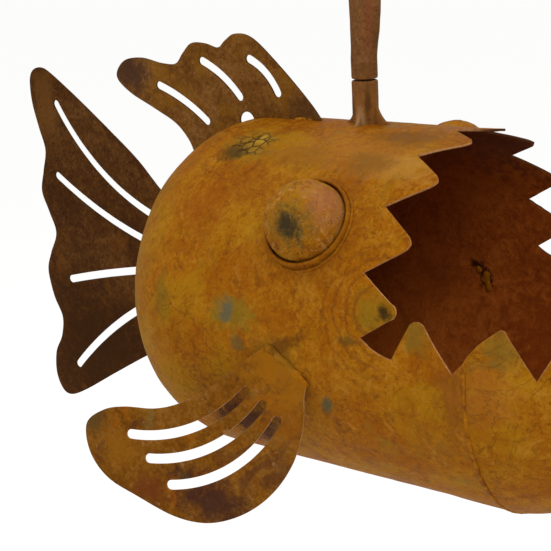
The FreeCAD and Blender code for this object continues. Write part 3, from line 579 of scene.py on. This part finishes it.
# Layers: screen colour, scale, swirl, where the noise starts and fully shows it, and strength.
BODY_LAYERS = [
    ((142, 102, 12), 6.5, 1.6, 0.47, 0.62, 0.55), ((120, 60, 5), 11.0, 2.2, 0.50, 0.63, 0.45),
    ((112, 88, 24), 17.0, 1.4, 0.57, 0.68, 0.45), ((96, 52, 12), 34.0, 2.8, 0.54, 0.66, 0.50),
    ((158, 108, 36), 60.0, 1.6, 0.55, 0.68, 0.45), ((88, 48, 12), 150.0, 0.8, 0.55, 0.66, 0.50)]
EYE_LAYERS = [
    ((136, 98, 22), 30.0, 1.8, 0.47, 0.60, 0.60), ((100, 56, 26), 70.0, 2.4, 0.52, 0.64, 0.55),
    ((168, 122, 66), 120.0, 1.6, 0.54, 0.64, 0.60),
    ((74, 46, 22), 160.0, 1.2, 0.54, 0.64, 0.55)]
TAIL_LAYERS = [
    ((90, 52, 14), 14.0, 1.4, 0.52, 0.64, 0.50), ((40, 18, 10), 24.0, 2.0, 0.52, 0.64, 0.50),
    ((100, 68, 40), 130.0, 0.6, 0.58, 0.70, 0.50)]
DORSAL_LAYERS = [
    ((112, 72, 14), 16.0, 1.4, 0.50, 0.62, 0.50), ((66, 34, 14), 30.0, 2.0, 0.52, 0.64, 0.50),
    ((132, 92, 52), 130.0, 0.6, 0.58, 0.70, 0.50)]
FIN_LAYERS = [
    ((62, 32, 24), 16.0, 1.8, 0.50, 0.62, 0.55), ((132, 72, 8), 22.0, 1.8, 0.54, 0.64, 0.60),
    ((96, 82, 40), 30.0, 1.2, 0.58, 0.68, 0.60), ((140, 104, 62), 130.0, 0.6, 0.58, 0.70, 0.50)]
TUBE_LAYERS = [
    ((86, 50, 28), 40.0, 1.4, 0.50, 0.62, 0.45), ((126, 92, 60), 90.0, 0.8, 0.55, 0.68, 0.45)]
INNER_LAYERS = [
    ((104, 48, 14), 9.0, 1.6, 0.50, 0.62, 0.40), ((160, 96, 48), 50.0, 1.2, 0.60, 0.72, 0.40)]
WELD_LAYERS = [((92, 46, 20), 60.0, 1.0, 0.46, 0.60, 0.70)]


def rust_finish(*args, **settings):
    made, colour, rough = rust(*args, **settings)
    return made.finished(colour, rough)


def body_finish():
    """The body's rust and painted shadows, with a crazed patch on the crown and stained hammer
    rings by the jaw.
    """
    made, colour, rough = rust("body_rust_and_shade", ORANGE, 1.0, BODY_LAYERS, BODY_MARKS_AND_SHADE, (88, 46, 10))
    patch = made.near((-76, -58, 138), (27, 27, 16), ragged=0.7)
    cracks = made.between(made.cells(125.0, "DISTANCE_TO_EDGE"), 0.16, 0.04)
    colour = made.over(colour, (48, 28, 10), made.times(cracks, patch), 0.9)
    for side in SIDES.values():
        away = made.reach(ring_centre(side), (1, 1, 1))
        waved = made.total((made.cloud(75.0, 3.0, 0.5, 0.4), 16.0), start=away)
        wave = made.math("SINE", made.times(waved, tau / RING_GAP))
        share = made.times(made.between(away, 14.0, 20.0), made.between(away, 66.0, 40.0),
                           made.between(made.along("X"), 112.0 * MM, 92.0 * MM),
                           made.between(wave, 0.1, 0.95))
        colour = made.over(colour, (92, 48, 14), share, 0.42)
    return made.finished(colour, rough)


def edge_finish():
    """Cut edges, pale on the right side and darkened on the left, the far side, with painted shade.
    """
    made, colour, rough = rust("cut_edge", EDGE, 61.0)
    # Painted shade: the edges on the left side darkened.
    dark = made.between(made.along("Y"), 0.0, 20.0 * MM)
    return made.finished(made.over(colour, (52, 27, 12), dark, 0.95), rough)


body_rust_and_shade = body_finish()
tail_rust = rust_finish("tail_rust", BROWN, 11.0, TAIL_LAYERS, [
    ((46, 24, 7), (-350, 0, -110), (130, 60, 100), 0.8),
    ((92, 58, 22), (-392, 0, 150), (24, 20, 60), 0.6)])
dorsal_rust = rust_finish("dorsal_rust", DORSAL, 21.0, DORSAL_LAYERS, [
    ((60, 38, 26), (-268, 0, 186), (36, 30, 26), 0.9),
    ((60, 40, 26), (-62, 0, 160), (26, 30, 16), 0.5)])
fin_rust = rust_finish("fin_rust", FIN, 31.0, FIN_LAYERS, [
    patch for side in SIDES.values() for patch in (
        # The first patch is painted shade over the lower part of each side fin.
        ((50, 28, 24), (-25, side * 200, -118), (62, 40, 24), 0.85, (0, 22, 0)),
        ((118, 74, 14), (-108, side * 212, -88), (24, 20, 20), 0.75),
        ((72, 54, 26), (-136, side * 213, -66), (17, 20, 24), 0.75),
        ((92, 44, 20), (-78, side * 212, -116), (22, 20, 16), 0.7),
        ((124, 72, 14), (24, side * 164, -50), (26, 20, 40), 0.6),
        ((130, 80, 12), (16, side * 152, -16), (52, 30, 40), 0.85))])
tube_rust = rust_finish("tube_rust", TUBE_TONES, 41.0, TUBE_LAYERS, [
    ((128, 82, 34), (0, 0, 164), (40, 40, 34), 0.6),
    ((112, 58, 36), (9, -5, 260), (5, 8, 80), 0.5),
    ((140, 106, 70), (2, -14, 158), (7, 9, 16), 0.8),
    ((60, 34, 18), (8, -9, 168), (4, 6, 22), 0.7),
    ((60, 34, 18), (-6, -11, 164), (4, 6, 16), 0.6)], bump=0.9)
inner_rust = rust_finish("inner_rust", INNER, 51.0, INNER_LAYERS, [
    ((92, 54, 40), (110, 60, 130), (140, 140, 64), 0.8),
    ((106, 44, 12), (160, 80, -60), (200, 200, 240), 0.8),
    ((20, 10, 6), (34, 146, -18), (12, 12, 14), 0.95),
    ((20, 10, 6), (24, 146, -8), (12, 12, 7), 0.95, (0, 30, 0))])
cut_edge = edge_finish()
dark_edge = rust_finish("dark_edge", DARK_EDGE, 71.0)
weld_rust = rust_finish("weld_rust", ORANGE, 81.0, WELD_LAYERS)
eye_rust = rust_finish("eye_rust", ORANGE, 91.0, EYE_LAYERS, [
    # Painted highlight: a pale pink patch on the upper front of the right eye.
    ((146, 92, 58), (52, -126, 118), (30, 32, 34), 0.6),
    ((92, 74, 26), (28, -151.5, 99), (25, 26, 25), 0.7),
    ((48, 40, 26), (28, -152, 99), (15, 16, 16), 0.95)],
    (70, 40, 20), bump=1.0)


def steel(name):
    """Turned steel, grey and dull, with fine rings of rust bloom."""
    made = Finish(name, 0.5, 0.9)
    film = made.cloud(160.0, 6.0, 0.7, 0.4)
    rings = made.cloud(90.0, 3.0, 0.5, place=made.stretched((1, 1, 9)))
    colour = made.ramp(made.total((film, 0.7), (rings, 0.3)), [
        (0.3, (120, 92, 70)), (0.5, (150, 142, 134)), (0.8, (176, 172, 168))])
    made.bumped(rings, 0.25, 0.2)
    return made.finished(colour, made.between(film, 0.3, 0.7, 0.35, 0.6))


pin_steel = steel("pin_steel")

# ---- body shells


def around(angle, radius=SHELL):
    """y and z at an angle up from the fish's right side, through the top to its left."""
    t = radians(angle)
    return -radius * cos(t), radius * sin(t)


def on_barrel(s, x):
    """A point of the barrel's unrolled sheet, s along its round."""
    t = s / SHELL
    return (x, -SHELL * cos(t), SHELL * sin(t)), (0.0, -cos(t), sin(t))


def shell_relief(p):
    """Dents of the body's sheet, with hammered creases round the lowest upper tooth."""
    h = worked(p)
    for side in SIDES.values():
        away = (p - Vector(ring_centre(side))).length
        if 14 < away < 62:
            wave = sin((away + 2.4 * noise.noise(p / 13)) * tau / RING_GAP)
            fade = min(1, (away - 14) / 9) * min(1, (62 - away) / 20)
            back = min(1, max(0, (104 - p.x) / 12))
            h += 0.7 * wave * fade * back * (0.6 + 0.8 * noise.noise(p / 20))
    return h


CHIN_NOTCH = (163.5, 4.9)
CHIN_TOOTH_FOOT = (171.5, 13.8)
SEAM_TOP = 15.9              # height of the chin seam's upper end


def jaw_line():
    """(x, z) along the right side's cut, from the chin seam up to the third upper tooth's tip."""
    nick, corner, notch = (113.8, 7.0), (86.3, 19.2), (82.8, 65.4)
    low, high = (110.8, 35.5), (110.6, 47.3)
    third = (111.9, 82.8)
    line = divided([(CHIN_SEAM, SEAM_TOP), CHIN_TOOTH_FOOT, CHIN_NOTCH, (139.2, 35.6)])[:-1]
    line += arc((139.2, 35.6), (133.6, 38.0), (127.0, 33.2), 1.0)[:-1]
    line += divided([(127.0, 33.2), nick])[:-1] + arc(nick, (98.5, 11.6), corner)[:-1]
    line += divided([corner, low])[:-1] + arc(low, (115.6, 41.8), high, 1.0)[:-1]
    line += divided([high, notch])[:-1] + divided([notch, third])[:-1]
    return line + arc(third, (114.3, 85.5), (UPPER_TIP, 87.8), 1.0)


def barrel_loop():
    """The barrel's sheet unrolled, split along the belly: (arc length, x)."""
    side = [(SHELL * asin(z / SHELL), x) for x, z in jaw_line()]
    half = SHELL * radians(UPPER_PITCH / 2)
    flank = tooth_flank(half, UPPER_TIP - UPPER_ROOT)
    teeth = []
    first = UPPER_MIDDLE - UPPER_PITCH * (UPPER_NOTCHES - 1) / 2
    for k in range(UPPER_NOTCHES):
        middle = SHELL * radians(first + UPPER_PITCH * k)
        teeth += [(middle - t, UPPER_ROOT + d) for t, d in flank[:0:-1]]
        teeth += [(middle + t, UPPER_ROOT + d) for t, d in flank[:-1]]
    quarter = SHELL * pi / 2
    low = side[-1][0]
    high = 2 * quarter - low
    teeth = [p for p in teeth if low + 1.0 < p[0] < high - 1.0]
    other = [(2 * quarter - s, x) for s, x in side[::-1]]
    start = divided([(-quarter, REAR_SEAM), (-quarter, CHIN_SEAM), (side[0][0], CHIN_SEAM)])
    end = divided([(other[-1][0], CHIN_SEAM), (3 * quarter, CHIN_SEAM)])[1:]
    back = divided([(3 * quarter, CHIN_SEAM), (3 * quarter, REAR_SEAM), (-quarter, REAR_SEAM)])
    return start[:-1] + side + teeth + other + end[:-1] + back[:-1]


def on_rear(u, v):
    """A point of the rear end, by its distance over the surface from the crown's middle."""
    reach = hypot(u, v)
    turn = atan2(v, u)
    crown_reach = CROWN * CROWN_SWEEP
    if reach <= crown_reach:
        lean = reach / CROWN
        x = CROWN_X - CROWN * cos(lean)
        radius = CROWN * sin(lean)
    else:
        lean = CROWN_SWEEP + (reach - crown_reach) / KNUCKLE
        x = REAR_SEAM - KNUCKLE * cos(lean)
        radius = SHELL - KNUCKLE + KNUCKLE * sin(lean)
    out = (-cos(turn), sin(turn))
    return ((x, radius * out[0], radius * out[1]),
            (-cos(lean), sin(lean) * out[0], sin(lean) * out[1]))


def on_chin(u, v):
    """A point of the chin, by its distance over the sphere from its foremost point."""
    lean = hypot(u, v) / CHIN
    turn = atan2(v, u)
    way = (cos(lean), -sin(lean) * cos(turn), sin(lean) * sin(turn))
    return (CHIN_X + CHIN * way[0], CHIN * way[1], CHIN * way[2]), way


def chin_flat(x, y, z):
    """Where a point of the chin lies in the sheet that on_chin takes."""
    lean = acos(max(-1, min(1, (x - CHIN_X) / CHIN)))
    turn = atan2(z, -y)
    return CHIN * lean * cos(turn), CHIN * lean * sin(turn)


def chin_loop():
    """The chin's sheet: round the seam below, and over the teeth above."""
    def beside(x, z, side):
        return chin_flat(x, side * sqrt(CHIN ** 2 - (x - CHIN_X) ** 2 - z ** 2), z)

    back = arc(CHIN_TOOTH_FOOT, (181.8, 28.0), (193.5, 38.0), 2.0)
    back = [(CHIN_SEAM, SEAM_TOP)] + [p for p in back if CHIN_SEAM + 1 < p[0]][:-1]
    back += arc((193.5, 38.0), (197.4, 39.7), (200.6, 36.4), 1.0)
    rim = sqrt(CHIN ** 2 - FRONT_TIP ** 2)
    half = rim * sin(radians(FRONT_PITCH / 2))
    flank = tooth_flank(half, FRONT_TIP - FRONT_ROOT)
    vee = [(-t, d) for t, d in flank[:0:-1]] + flank[:-1]
    loop = [beside(x, z, -1) for x, z in back]
    for k in range(FRONT_NOTCHES):
        angle = radians(FRONT_PITCH * (k - (FRONT_NOTCHES - 1) / 2))
        for t, d in vee:
            z = FRONT_ROOT + d
            ahead = sqrt(CHIN ** 2 - z ** 2 - t ** 2)
            x = CHIN_X + ahead * cos(angle) - t * sin(angle)
            y = ahead * sin(angle) + t * cos(angle)
            if x > 201.2:
                loop.append(chin_flat(x, y, z))
    loop += [beside(x, z, 1) for x, z in back[::-1]]
    lean = acos((CHIN_SEAM - CHIN_X) / CHIN)
    start = atan2(loop[-1][1], loop[-1][0])
    end = atan2(loop[0][1], loop[0][0])
    sweep = (end - start) % tau
    count = ceil(sweep * CHIN * sin(lean) / 2.2)
    for k in range(1, count):
        t = start + sweep * k / count
        loop.append((CHIN * lean * cos(t), CHIN * lean * sin(t)))
    return loop


rear_round = turned((0, 0), CROWN * CROWN_SWEEP + KNUCKLE * KNUCKLE_SWEEP, 0, 360, 3.0)[:-1]
for name, node, loop, spacing, place in (
        ("barrel_shell", "barrel", barrel_loop(), 3.6, on_barrel),
        ("rear_shell", "rear_dome", rear_round, 4.0, on_rear),
        ("chin_shell", "chin_dome", chin_loop(), 3.4, on_chin)):
    sheet_piece(name, [loop], spacing, place, WALL, shell_relief,
                [body_rust_and_shade, inner_rust, cut_edge], [node])

# ---- tail and dorsal fins

FIN_SHEET = (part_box("tail_fin")[1].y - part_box("tail_fin")[0].y) / MM


def in_middle(x, z):
    """A point on a fin that stands in the fish's middle plane."""
    return (x, -FIN_SHEET / 2, z), (0.0, -1.0, 0.0)


def tail_loops():
    crown = (CROWN_X, 0.0)
    up, down = 180 - 12.7, 180 + 17.0
    root = turned(crown, CROWN, down, up)
    upper = spline([root[-1], (-238, 73), (-266, 101), (-305, 131), (-345, 160), (-378, 182),
                    (-392, 188), (-404, 185), (-410, 174), (-410, 152), (-404, 127),
                    (-397, 103), (-403, 80), (-409, 58), (-401, 36), (-394, 14), (-405, -9),
                    (-412, -29), (-407, -57), (-397, -79), (-401, -101), (-413, -122),
                    (-416, -146), (-409, -164), (-396, -169), (-372, -159), (-326, -132),
                    (-279, -105), (-236, -82), root[0]])
    slots = [slot(*ends, 8.0) for ends in (
        ((-376, 150), (-322, 86), (-240, 41)), ((-384, 75), (-328, 43), (-246, 14)),
        ((-379, -36), (-325, -23), (-250, -9)), ((-381, -132), (-338, -93), (-258, -42)))]
    return [root + [(x - 2.2, z - 1.5) for x, z in upper[1:-1]]] + slots


RELIEF = 8.0                 # half-round relief in the dorsal fin's root


def dorsal_loops():
    knuckle = (REAR_SEAM, SHELL - KNUCKLE)
    relief_at = 90 + 16.8
    half = degrees(RELIEF / KNUCKLE)
    seat = turned(knuckle, KNUCKLE, 90 + 56.0, relief_at + half)
    middle = turned(knuckle, KNUCKLE, relief_at, relief_at - 1)[0]
    seat += turned(middle, RELIEF, relief_at + 88, relief_at - 88, 1.5)[1:-1]
    seat += turned(knuckle, KNUCKLE, relief_at - half, 90)
    seat += divided([(REAR_SEAM, SHELL), (-45.0, SHELL)])[1:]
    crest = spline([(-45, SHELL), (-57, 165), (-86, 194), (-116, 219), (-136, 223), (-148, 217),
                    (-157, 210.5), (-172, 214), (-188, 214), (-199, 205), (-209, 195),
                    (-227, 195), (-252, 199.5), (-275, 196), (-286, 181), (-270, 166),
                    (-240, 152), (-214, 139), (-199, 124), (-189, 106), seat[0]])
    slots = [slot(*ends, 7.5) for ends in (
        ((-231, 174), (-202, 161), (-175, 143)), ((-176, 198), (-153, 185), (-134, 167)),
        ((-121, 201), (-103, 189), (-91, 172)))]
    return [seat[:-1] + crest[:-1]] + slots


sheet_piece("tail_sheet", tail_loops(), 4.0, in_middle, FIN_SHEET, flat_sheet,
            [tail_rust, tail_rust, dark_edge], ["tail_fin"])
sheet_piece("dorsal_sheet", dorsal_loops(), 3.5, in_middle, FIN_SHEET, flat_sheet,
            [dorsal_rust, dorsal_rust, dark_edge], ["dorsal_fin"])

# ---- side fins

FIN_FLARE = 26.0


def fin_axes(side):
    """Where a side fin's root lies on the barrel, and its directions: out, along and off."""
    def on_side(x, angle):
        y, z = around(angle)
        return Vector((x, -side * y, z))

    rear, front = on_side(-4.0, 2.0), on_side(38.0, -10.0)
    middle = (rear + front) / 2
    middle.yz = middle.yz.normalized() * SHELL
    along = (rear - front).normalized()
    out = Vector((0, middle.y, middle.z)).normalized()
    down = out.cross(along).normalized()
    if down.z > 0:
        down = -down
    flare = radians(FIN_FLARE)
    away = (down * cos(flare) + out * sin(flare)).normalized()
    off = away.cross(along).normalized()
    if off.dot(out) < 0:
        off = -off
    return middle + out * 1.2, away, along, off


def fin_loops():
    edge = spline([(1, -26), (10, -31.5), (26, -45), (50, -57), (74, -61.5), (98, -59.5),
                   (121, -51), (141, -36), (156, -13), (167, 19), (175, 49), (171, 75),
                   (156, 93), (137, 89), (122, 77), (104, 56), (84, 42), (58, 32), (30, 26),
                   (1, 19)])
    slots = [slot(*ends, 7.8) for ends in (
        ((134, 57.5), (96.5, 24), (39, 7.5)), ((137, 32.5), (95.5, 1), (37, -9.5)),
        ((139, 4.5), (97.5, -22), (38, -26.5)))]
    return [edge + divided([(1, 19), (1, -26)])[1:-1]] + slots


for name, side in SIDES.items():
    origin, away, along, off = fin_axes(side)

    def on_fin(u, v):
        return tuple(origin + away * u + along * v + off * (WALL / 2)), tuple(off)

    sheet_piece(f"{name}_fin_sheet", fin_loops(), 3.5, on_fin, WALL, flat_sheet,
                [fin_rust, fin_rust, cut_edge], [f"{name}_pectoral_fin"])

# ---- eyes


def shell_height(p, out):
    """How high over the fish's axis the barrel's surface is beneath a point of the eye."""
    off = Vector((0, p.y, p.z)) - out * out.dot(Vector((0, p.y, p.z)))
    return sqrt(SHELL ** 2 - off.length_squared)


def rise(p, out):
    """How far a point of the eye is beneath its foot in the barrel's surface."""
    return shell_height(p, out) - BITE - out.dot(p)


for name, side in SIDES.items():
    t = radians(EYE_UP[side])
    out = Vector((0, side * cos(t), sin(t)))
    forward, upward = Vector((1, 0, 0)), Vector((0, -side * sin(t), cos(t)))
    centre = Vector((EYE_X, 0, 0))
    wall = EYE_RING - EYE_SHEET
    # radius, and height over the lip; None stands on the barrel
    ring = [(EYE_RING, None), (EYE_RING, -2.6), (EYE_RING - 0.1, -1.6), (EYE_RING - 0.5, -0.7),
            (EYE_RING - 1.1, -0.15), (EYE_RING - 1.9, -0.15), (wall + 0.35, -0.7),
            (wall + 0.05, -1.6), (wall, -2.6), (wall, None)]

    def ring_place(p, way, n):
        if ring[n][1] is None:
            return p + out * rise(p, out)
        wobble = 0.35 * noise.noise(p / 17) + 0.12 * noise.noise(p / 5)
        return p + way * wobble + out * wobble * 0.6

    profile = [(r, EYE_LIP + (h or 0)) for r, h in ring]
    points, faces = lathe(profile, 120, centre, out, forward, ring_place)
    piece(f"{name}_eye_ring", points, [faces], [body_rust_and_shade], [f"{name}_eye_socket"])

    steps = 44
    foot = -0.22
    leans = [foot + (pi / 2 - foot) * k / steps for k in range(steps)]
    shell = [(EYE_BALL * cos(t), EYE_BALL_AT + EYE_BALL * sin(t)) for t in leans]
    hollow = EYE_BALL - WALL
    within = [(hollow * cos(t), EYE_BALL_AT + hollow * sin(t)) for t in leans[::4]]
    ball = shell + [(0.02, EYE_BALL_AT + EYE_BALL), (0.02, EYE_BALL_AT + hollow)] + within[::-1]

    def ball_place(p, way, n):
        lift = rise(p, out)
        if n in (0, len(ball) - 1) or lift > 0:
            p = p + out * lift
        dimple = (0.34 * noise.noise(p / 3.1) + 0.20 * noise.noise(p / 6.3)
                  + 0.5 * noise.noise(p / 19))
        middle = centre + out * EYE_BALL_AT
        return p + (p - middle).normalized() * dimple

    points, faces = lathe(ball, 144, centre, out, forward, ball_place)
    piece(f"{name}_eye_dome", points, [faces], [eye_rust], [f"{name}_eyeball"])

    line, normals = [], []
    for k in range(150):
        t = tau * k / 150
        way = forward * cos(t) + upward * sin(t)
        p = centre + way * (EYE_RING + 0.5)
        p += out * (shell_height(p, out) + 0.2)
        line.append(p)
        normals.append((way * 0.7 + out * 0.7).normalized())
    points, faces = ribbon(line, normals, 1.5, True, 4.0 * side)
    piece(f"{name}_eye_bead", points, [faces], [body_rust_and_shade], [f"{name}_eye_weld"])

# ---- welds


def bead(name, lines, radius, nodes, finish, flat=1.0, closed=False):
    """Weld beads in one piece. Each line is a list of points and of the ways they stand up."""
    points, faces = merged(ribbon(line, normals, radius, closed, 2.3 * seed + 0.7, flat)
                           for seed, (line, normals) in enumerate(lines))
    piece(name, points, [faces], [finish], nodes)


def ring_line(x, start, end, radius):
    """Points round the barrel at one x, between two angles in degrees."""
    count = ceil(radians(abs(end - start)) * radius / 2.0)
    line, normals = [], []
    for k in range(count + 1):
        y, z = around(start + (end - start) * k / count, radius)
        line.append((x, y, z))
        normals.append(Vector((0, y, z)).normalized())
    return line, normals


rear_line, rear_ways = ring_line(REAR_SEAM, 0, 360, SHELL - 1.0)
bead("rear_seam_bead", [(rear_line[:-1], rear_ways[:-1])], 3.0, ["rear_seam_weld"], body_rust_and_shade,
     0.36, True)
bead("chin_seam_bead", [ring_line(CHIN_SEAM, -185.6, 5.6, SHELL - 0.3)], 1.7,
     ["chin_seam_weld"], weld_rust, 0.6)


def crown_line(angles, side):
    """Points beside the tail's root on the crown, between two angles in degrees."""
    line, normals = [], []
    for x, z in turned((CROWN_X, 0), CROWN, *angles):
        line.append((x, side * (FIN_SHEET / 2 + 0.3), z))
        normals.append(Vector((x - CROWN_X, side * 60, z)).normalized())
    return line, normals


bead("tail_beads", [crown_line((180 - 12, 180 - 3), 1), crown_line((180 + 4, 180 + 16), -1),
                    crown_line((180 - 12, 180 - 6), -1), crown_line((180 + 6, 180 + 16), 1)],
     2.2, ["tail_welds"], weld_rust)


def top_line(start, end, side):
    """Points beside the dorsal fin's root along the barrel's top."""
    line = [(x, side * (FIN_SHEET / 2 + 0.4), SHELL + 0.2) for x in np.arange(start, end, 1.8)]
    return line, [Vector((0, side, 1)).normalized()] * len(line)


bead("dorsal_beads", [top_line(-73, -60, -1), top_line(-92, -80, 1), top_line(-64, -50, 1)],
     2.3, ["dorsal_welds"], weld_rust)


def burrs():
    """Drips where the left fin's weld came through the body's wall."""
    inner = SHELL - WALL - 0.6
    lines = []
    for x, start, end in ((38.0, -12.0, -4.5), (32.5, -9.0, -6.5), (27.0, -5.5, -3.0)):
        count = ceil(radians(end - start) * inner / 1.2)
        turns = [radians(start + (end - start) * k / count) for k in range(count + 1)]
        lines.append(([(x - 0.35 * k, inner * cos(t), inner * sin(t))
                       for k, t in enumerate(turns)],
                      [Vector((0, -cos(t), -sin(t))) for t in turns]))
    return lines


for name, side in SIDES.items():
    origin, away, along, off = fin_axes(side)
    line = [origin + along * v + away * 1.0 for v in np.arange(-27, 20, 1.8)]
    lines = [(line, [off] * len(line))]
    if name == "left":
        lines += burrs()
    bead(f"{name}_fin_bead", lines, 3.3, [f"{name}_fin_weld"], body_rust_and_shade, 0.5)

# ---- stub, tube and swivel


def tube_mesh(sections):
    """Points and faces of an upright bar through (half x, half y, squareness, height) sections."""
    points = []
    rows = divided([tuple(map(float, s)) for s in sections], 1.6)
    for half_x, half_y, power, height in rows:
        share = min(1.0, max(0.0, (height - BOW_START) / (HANGER_TOP - BOW_START)))
        for k in range(TUBE_STEPS):
            t = tau * k / TUBE_STEPS
            x = half_x * copysign(abs(cos(t)) ** (2 / power), cos(t))
            y = half_y * copysign(abs(sin(t)) ** (2 / power), sin(t))
            p = Vector((x, y, height))
            p.x += BOW * sin(pi * share)
            p.xy *= 1 + 0.022 * noise.noise(p / 14) + 0.006 * noise.noise(p / 4)
            points.append(p)
    end = tuple(range(len(points) - TUBE_STEPS, len(points)))
    return points, bands(len(rows), TUBE_STEPS) + [end]


def bored(outer, bore):
    """A tube_mesh open at its lower end, with a blind bore of its own sections."""
    more, walls = tube_mesh(bore)
    points, faces = merged([tube_mesh(outer), (more, [face[::-1] for face in walls])])
    start = len(points) - len(more)
    for k in range(TUBE_STEPS):
        i = (k + 1) % TUBE_STEPS
        faces.append((i, k, start + k, start + i))
    return points, faces


def drilled(obj, place, radius, length):
    """Drills a hole along Y through a piece."""
    net = bmesh.new()
    turn = Matrix.Translation(row(*place)) @ Matrix.Rotation(pi / 2, 4, "X")
    bmesh.ops.create_cone(net, cap_ends=True, segments=48, radius1=radius * MM,
                          radius2=radius * MM, depth=length * MM, matrix=turn)
    mesh = bpy.data.meshes.new("drill")
    net.to_mesh(mesh)
    net.free()
    drill = link(bpy.data.objects.new("drill", mesh))
    cut = obj.modifiers.new("hole", "BOOLEAN")
    cut.object = drill
    cut.operation = "DIFFERENCE"
    cut.solver = "EXACT"
    bpy.context.view_layer.update()
    done = obj.evaluated_get(bpy.context.evaluated_depsgraph_get())
    obj.data = bpy.data.meshes.new_from_object(done)
    obj.modifiers.remove(cut)
    bpy.data.objects.remove(drill)
    rounded_rim(obj, 0.4, 40)


def stub_place(p, way, n):
    """The stub's slightly rough wall, with its foot on the barrel."""
    p = p + way * (0.18 * noise.noise(p / 9) + 0.05 * noise.noise(p / 3))
    p.z = max(p.z, sqrt(SHELL ** 2 - p.y ** 2) - 0.8)
    return p


soft = 1.3                   # the rounding at the stub's top
stub_wall = STUB_TOP - soft - STUB_LOW
stub_bore = TUBE - WALL
profile = [(TUBE, STUB_LOW + stub_wall * k / 16) for k in range(17)]
profile += [(TUBE - 0.4, STUB_TOP - 0.4), (TUBE - soft, STUB_TOP), (stub_bore + 0.3, STUB_TOP),
            (stub_bore, STUB_TOP - 0.4), (stub_bore, STUB_LOW)]
points, faces = lathe(profile, TUBE_STEPS, (0, 0, 0), (0, 0, 1), (1, 0, 0), stub_place)
piece("stub_pipe", points, [faces], [tube_rust], ["stub_tube"])


def gusset(turn, height, reach, thick=3.5):
    """A small hollow-cheeked brace between the stub and the barrel, at an angle about the stub."""
    cheek = arc((TUBE + reach, 0.0), (TUBE + reach * 0.36, height * 0.36), (TUBE, height), 1.2)
    outline = cheek + divided([(TUBE - 1.5, height), (TUBE - 1.5, -3.0), (TUBE + reach, -3.0)])[:-1]
    way = Vector((cos(radians(turn)), sin(radians(turn)), 0))
    across = Vector((-way.y, way.x, 0))
    points = []
    for side in (-1, 1):
        for r, h in outline:
            p = way * r + across * side * thick / 2
            p.z = sqrt(SHELL ** 2 - p.y ** 2) + h
            p += across * 0.25 * noise.noise(p / 5)
            points.append(p)
    size = len(outline)
    faces = [tuple(range(size)), tuple(range(2 * size - 1, size - 1, -1))]
    faces += [(k, k + size, (k + 1) % size + size, (k + 1) % size) for k in range(size)]
    return points, faces


points, faces = merged(gusset(*sizes) for sizes in (
    (0, 20, 12.5), (90, 11, 6), (180, 12, 8.5), (270, 11, 6)))
braces = piece("stub_braces", points, [faces], [tube_rust], ["stub_gussets"])
rounded_rim(braces, 0.6, 40)

tab_round = [(16.5 * cos(t), 2.0, 5.0, HANGER_TOP + 16.1 * sin(t))
             for t in map(radians, range(0, 90, 9))]
outside = [(9.9, 9.9, 2, HANGER_LOW), (10.7, 10.7, 2, 188.2), (11, 11, 2, 189.4), (11, 11, 2, 209),
           (11.4, 10.5, 2, 214), (13.8, 7.6, 2, 228), (15.2, 5.2, 2.2, 251), (16.2, 3, 3, 270),
           (16.5, 2, 5, 285)] + tab_round
bore = [(9.1, 9.1, 2, HANGER_LOW), (9, 9, 2, 209), (9.2, 8.3, 2, 215), (11, 5, 2, 228),
        (11.5, 2.6, 2, 246)]
points, faces = bored(outside, bore)
hanger = piece("hanger_pipe", points, [faces], [tube_rust], ["hanger_tube"], "hanger")
drilled(hanger, (0, 0, HANGER_TOP), 5.5, 30.0)

for node, finish in (("stub_plug", dark_edge), ("hanger_bush", pin_steel),
                     ("swivel_washer", dark_edge), ("swivel_pin", dark_edge)):
    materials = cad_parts[node].data.materials
    materials.clear()
    materials.append(finish)

# ---- studio and camera


def softbox(name, place, target, size, power):
    light = bpy.data.lights.new(name, "AREA")
    light.shape = "DISK"
    light.size = size
    light.energy = power
    obj = link(bpy.data.objects.new(name, light))
    obj.location = place
    obj.rotation_euler = (Vector(target) - Vector(place)).to_track_quat("-Z", "Y").to_euler()


def floor(height, half=70.0):
    """A plain pale floor, well below the hanging fish."""
    mesh = bpy.data.meshes.new("floor")
    corners = [(-half, -half, height), (half, -half, height), (half, half, height),
               (-half, half, height)]
    mesh.from_pydata(corners, [], [(0, 1, 2, 3)])
    mesh.materials.append(Finish("floor_paint", 0.0).finished(tone(252, 252, 251), 0.9))
    link(bpy.data.objects.new("floor", mesh))


middle = Vector((0.03, 0, AXIS_Z))
floor(-1.35)
softbox("key", (1.2, -1.4, 1.3), middle, 1.1, 16.0)
softbox("top", (-0.2, -0.3, 1.9), middle, 1.4, 12.0)
softbox("fill", (-2.0, -1.4, 0.2), middle, 1.8, 4.0)

world = bpy.data.worlds.new("studio")
world.use_nodes = True
sky = world.node_tree.nodes["Background"]
sky.inputs["Color"].default_value = (1.0, 1.0, 1.0, 1.0)
sky.inputs["Strength"].default_value = 1.0
scene.world = world
scene.view_settings.view_transform = "Standard"

camera_data = bpy.data.cameras.new("camera")
camera_data.lens = 80.54
camera_data.sensor_width = 36.0
camera = link(bpy.data.objects.new("camera", camera_data))
CAMERA_AT = (0.5691, -0.8588, 0.0138)
AZIMUTH, ELEVATION, ROLL = 38.13, 15.86, -3.075
camera.matrix_world = (
    Matrix.Translation(CAMERA_AT) @ Matrix.Rotation(radians(AZIMUTH), 4, "Z")
    @ Matrix.Rotation(radians(90 - ELEVATION), 4, "X")
    @ Matrix.Rotation(radians(ROLL), 4, "Z"))
scene.camera = camera

bpy.context.view_layer.update()
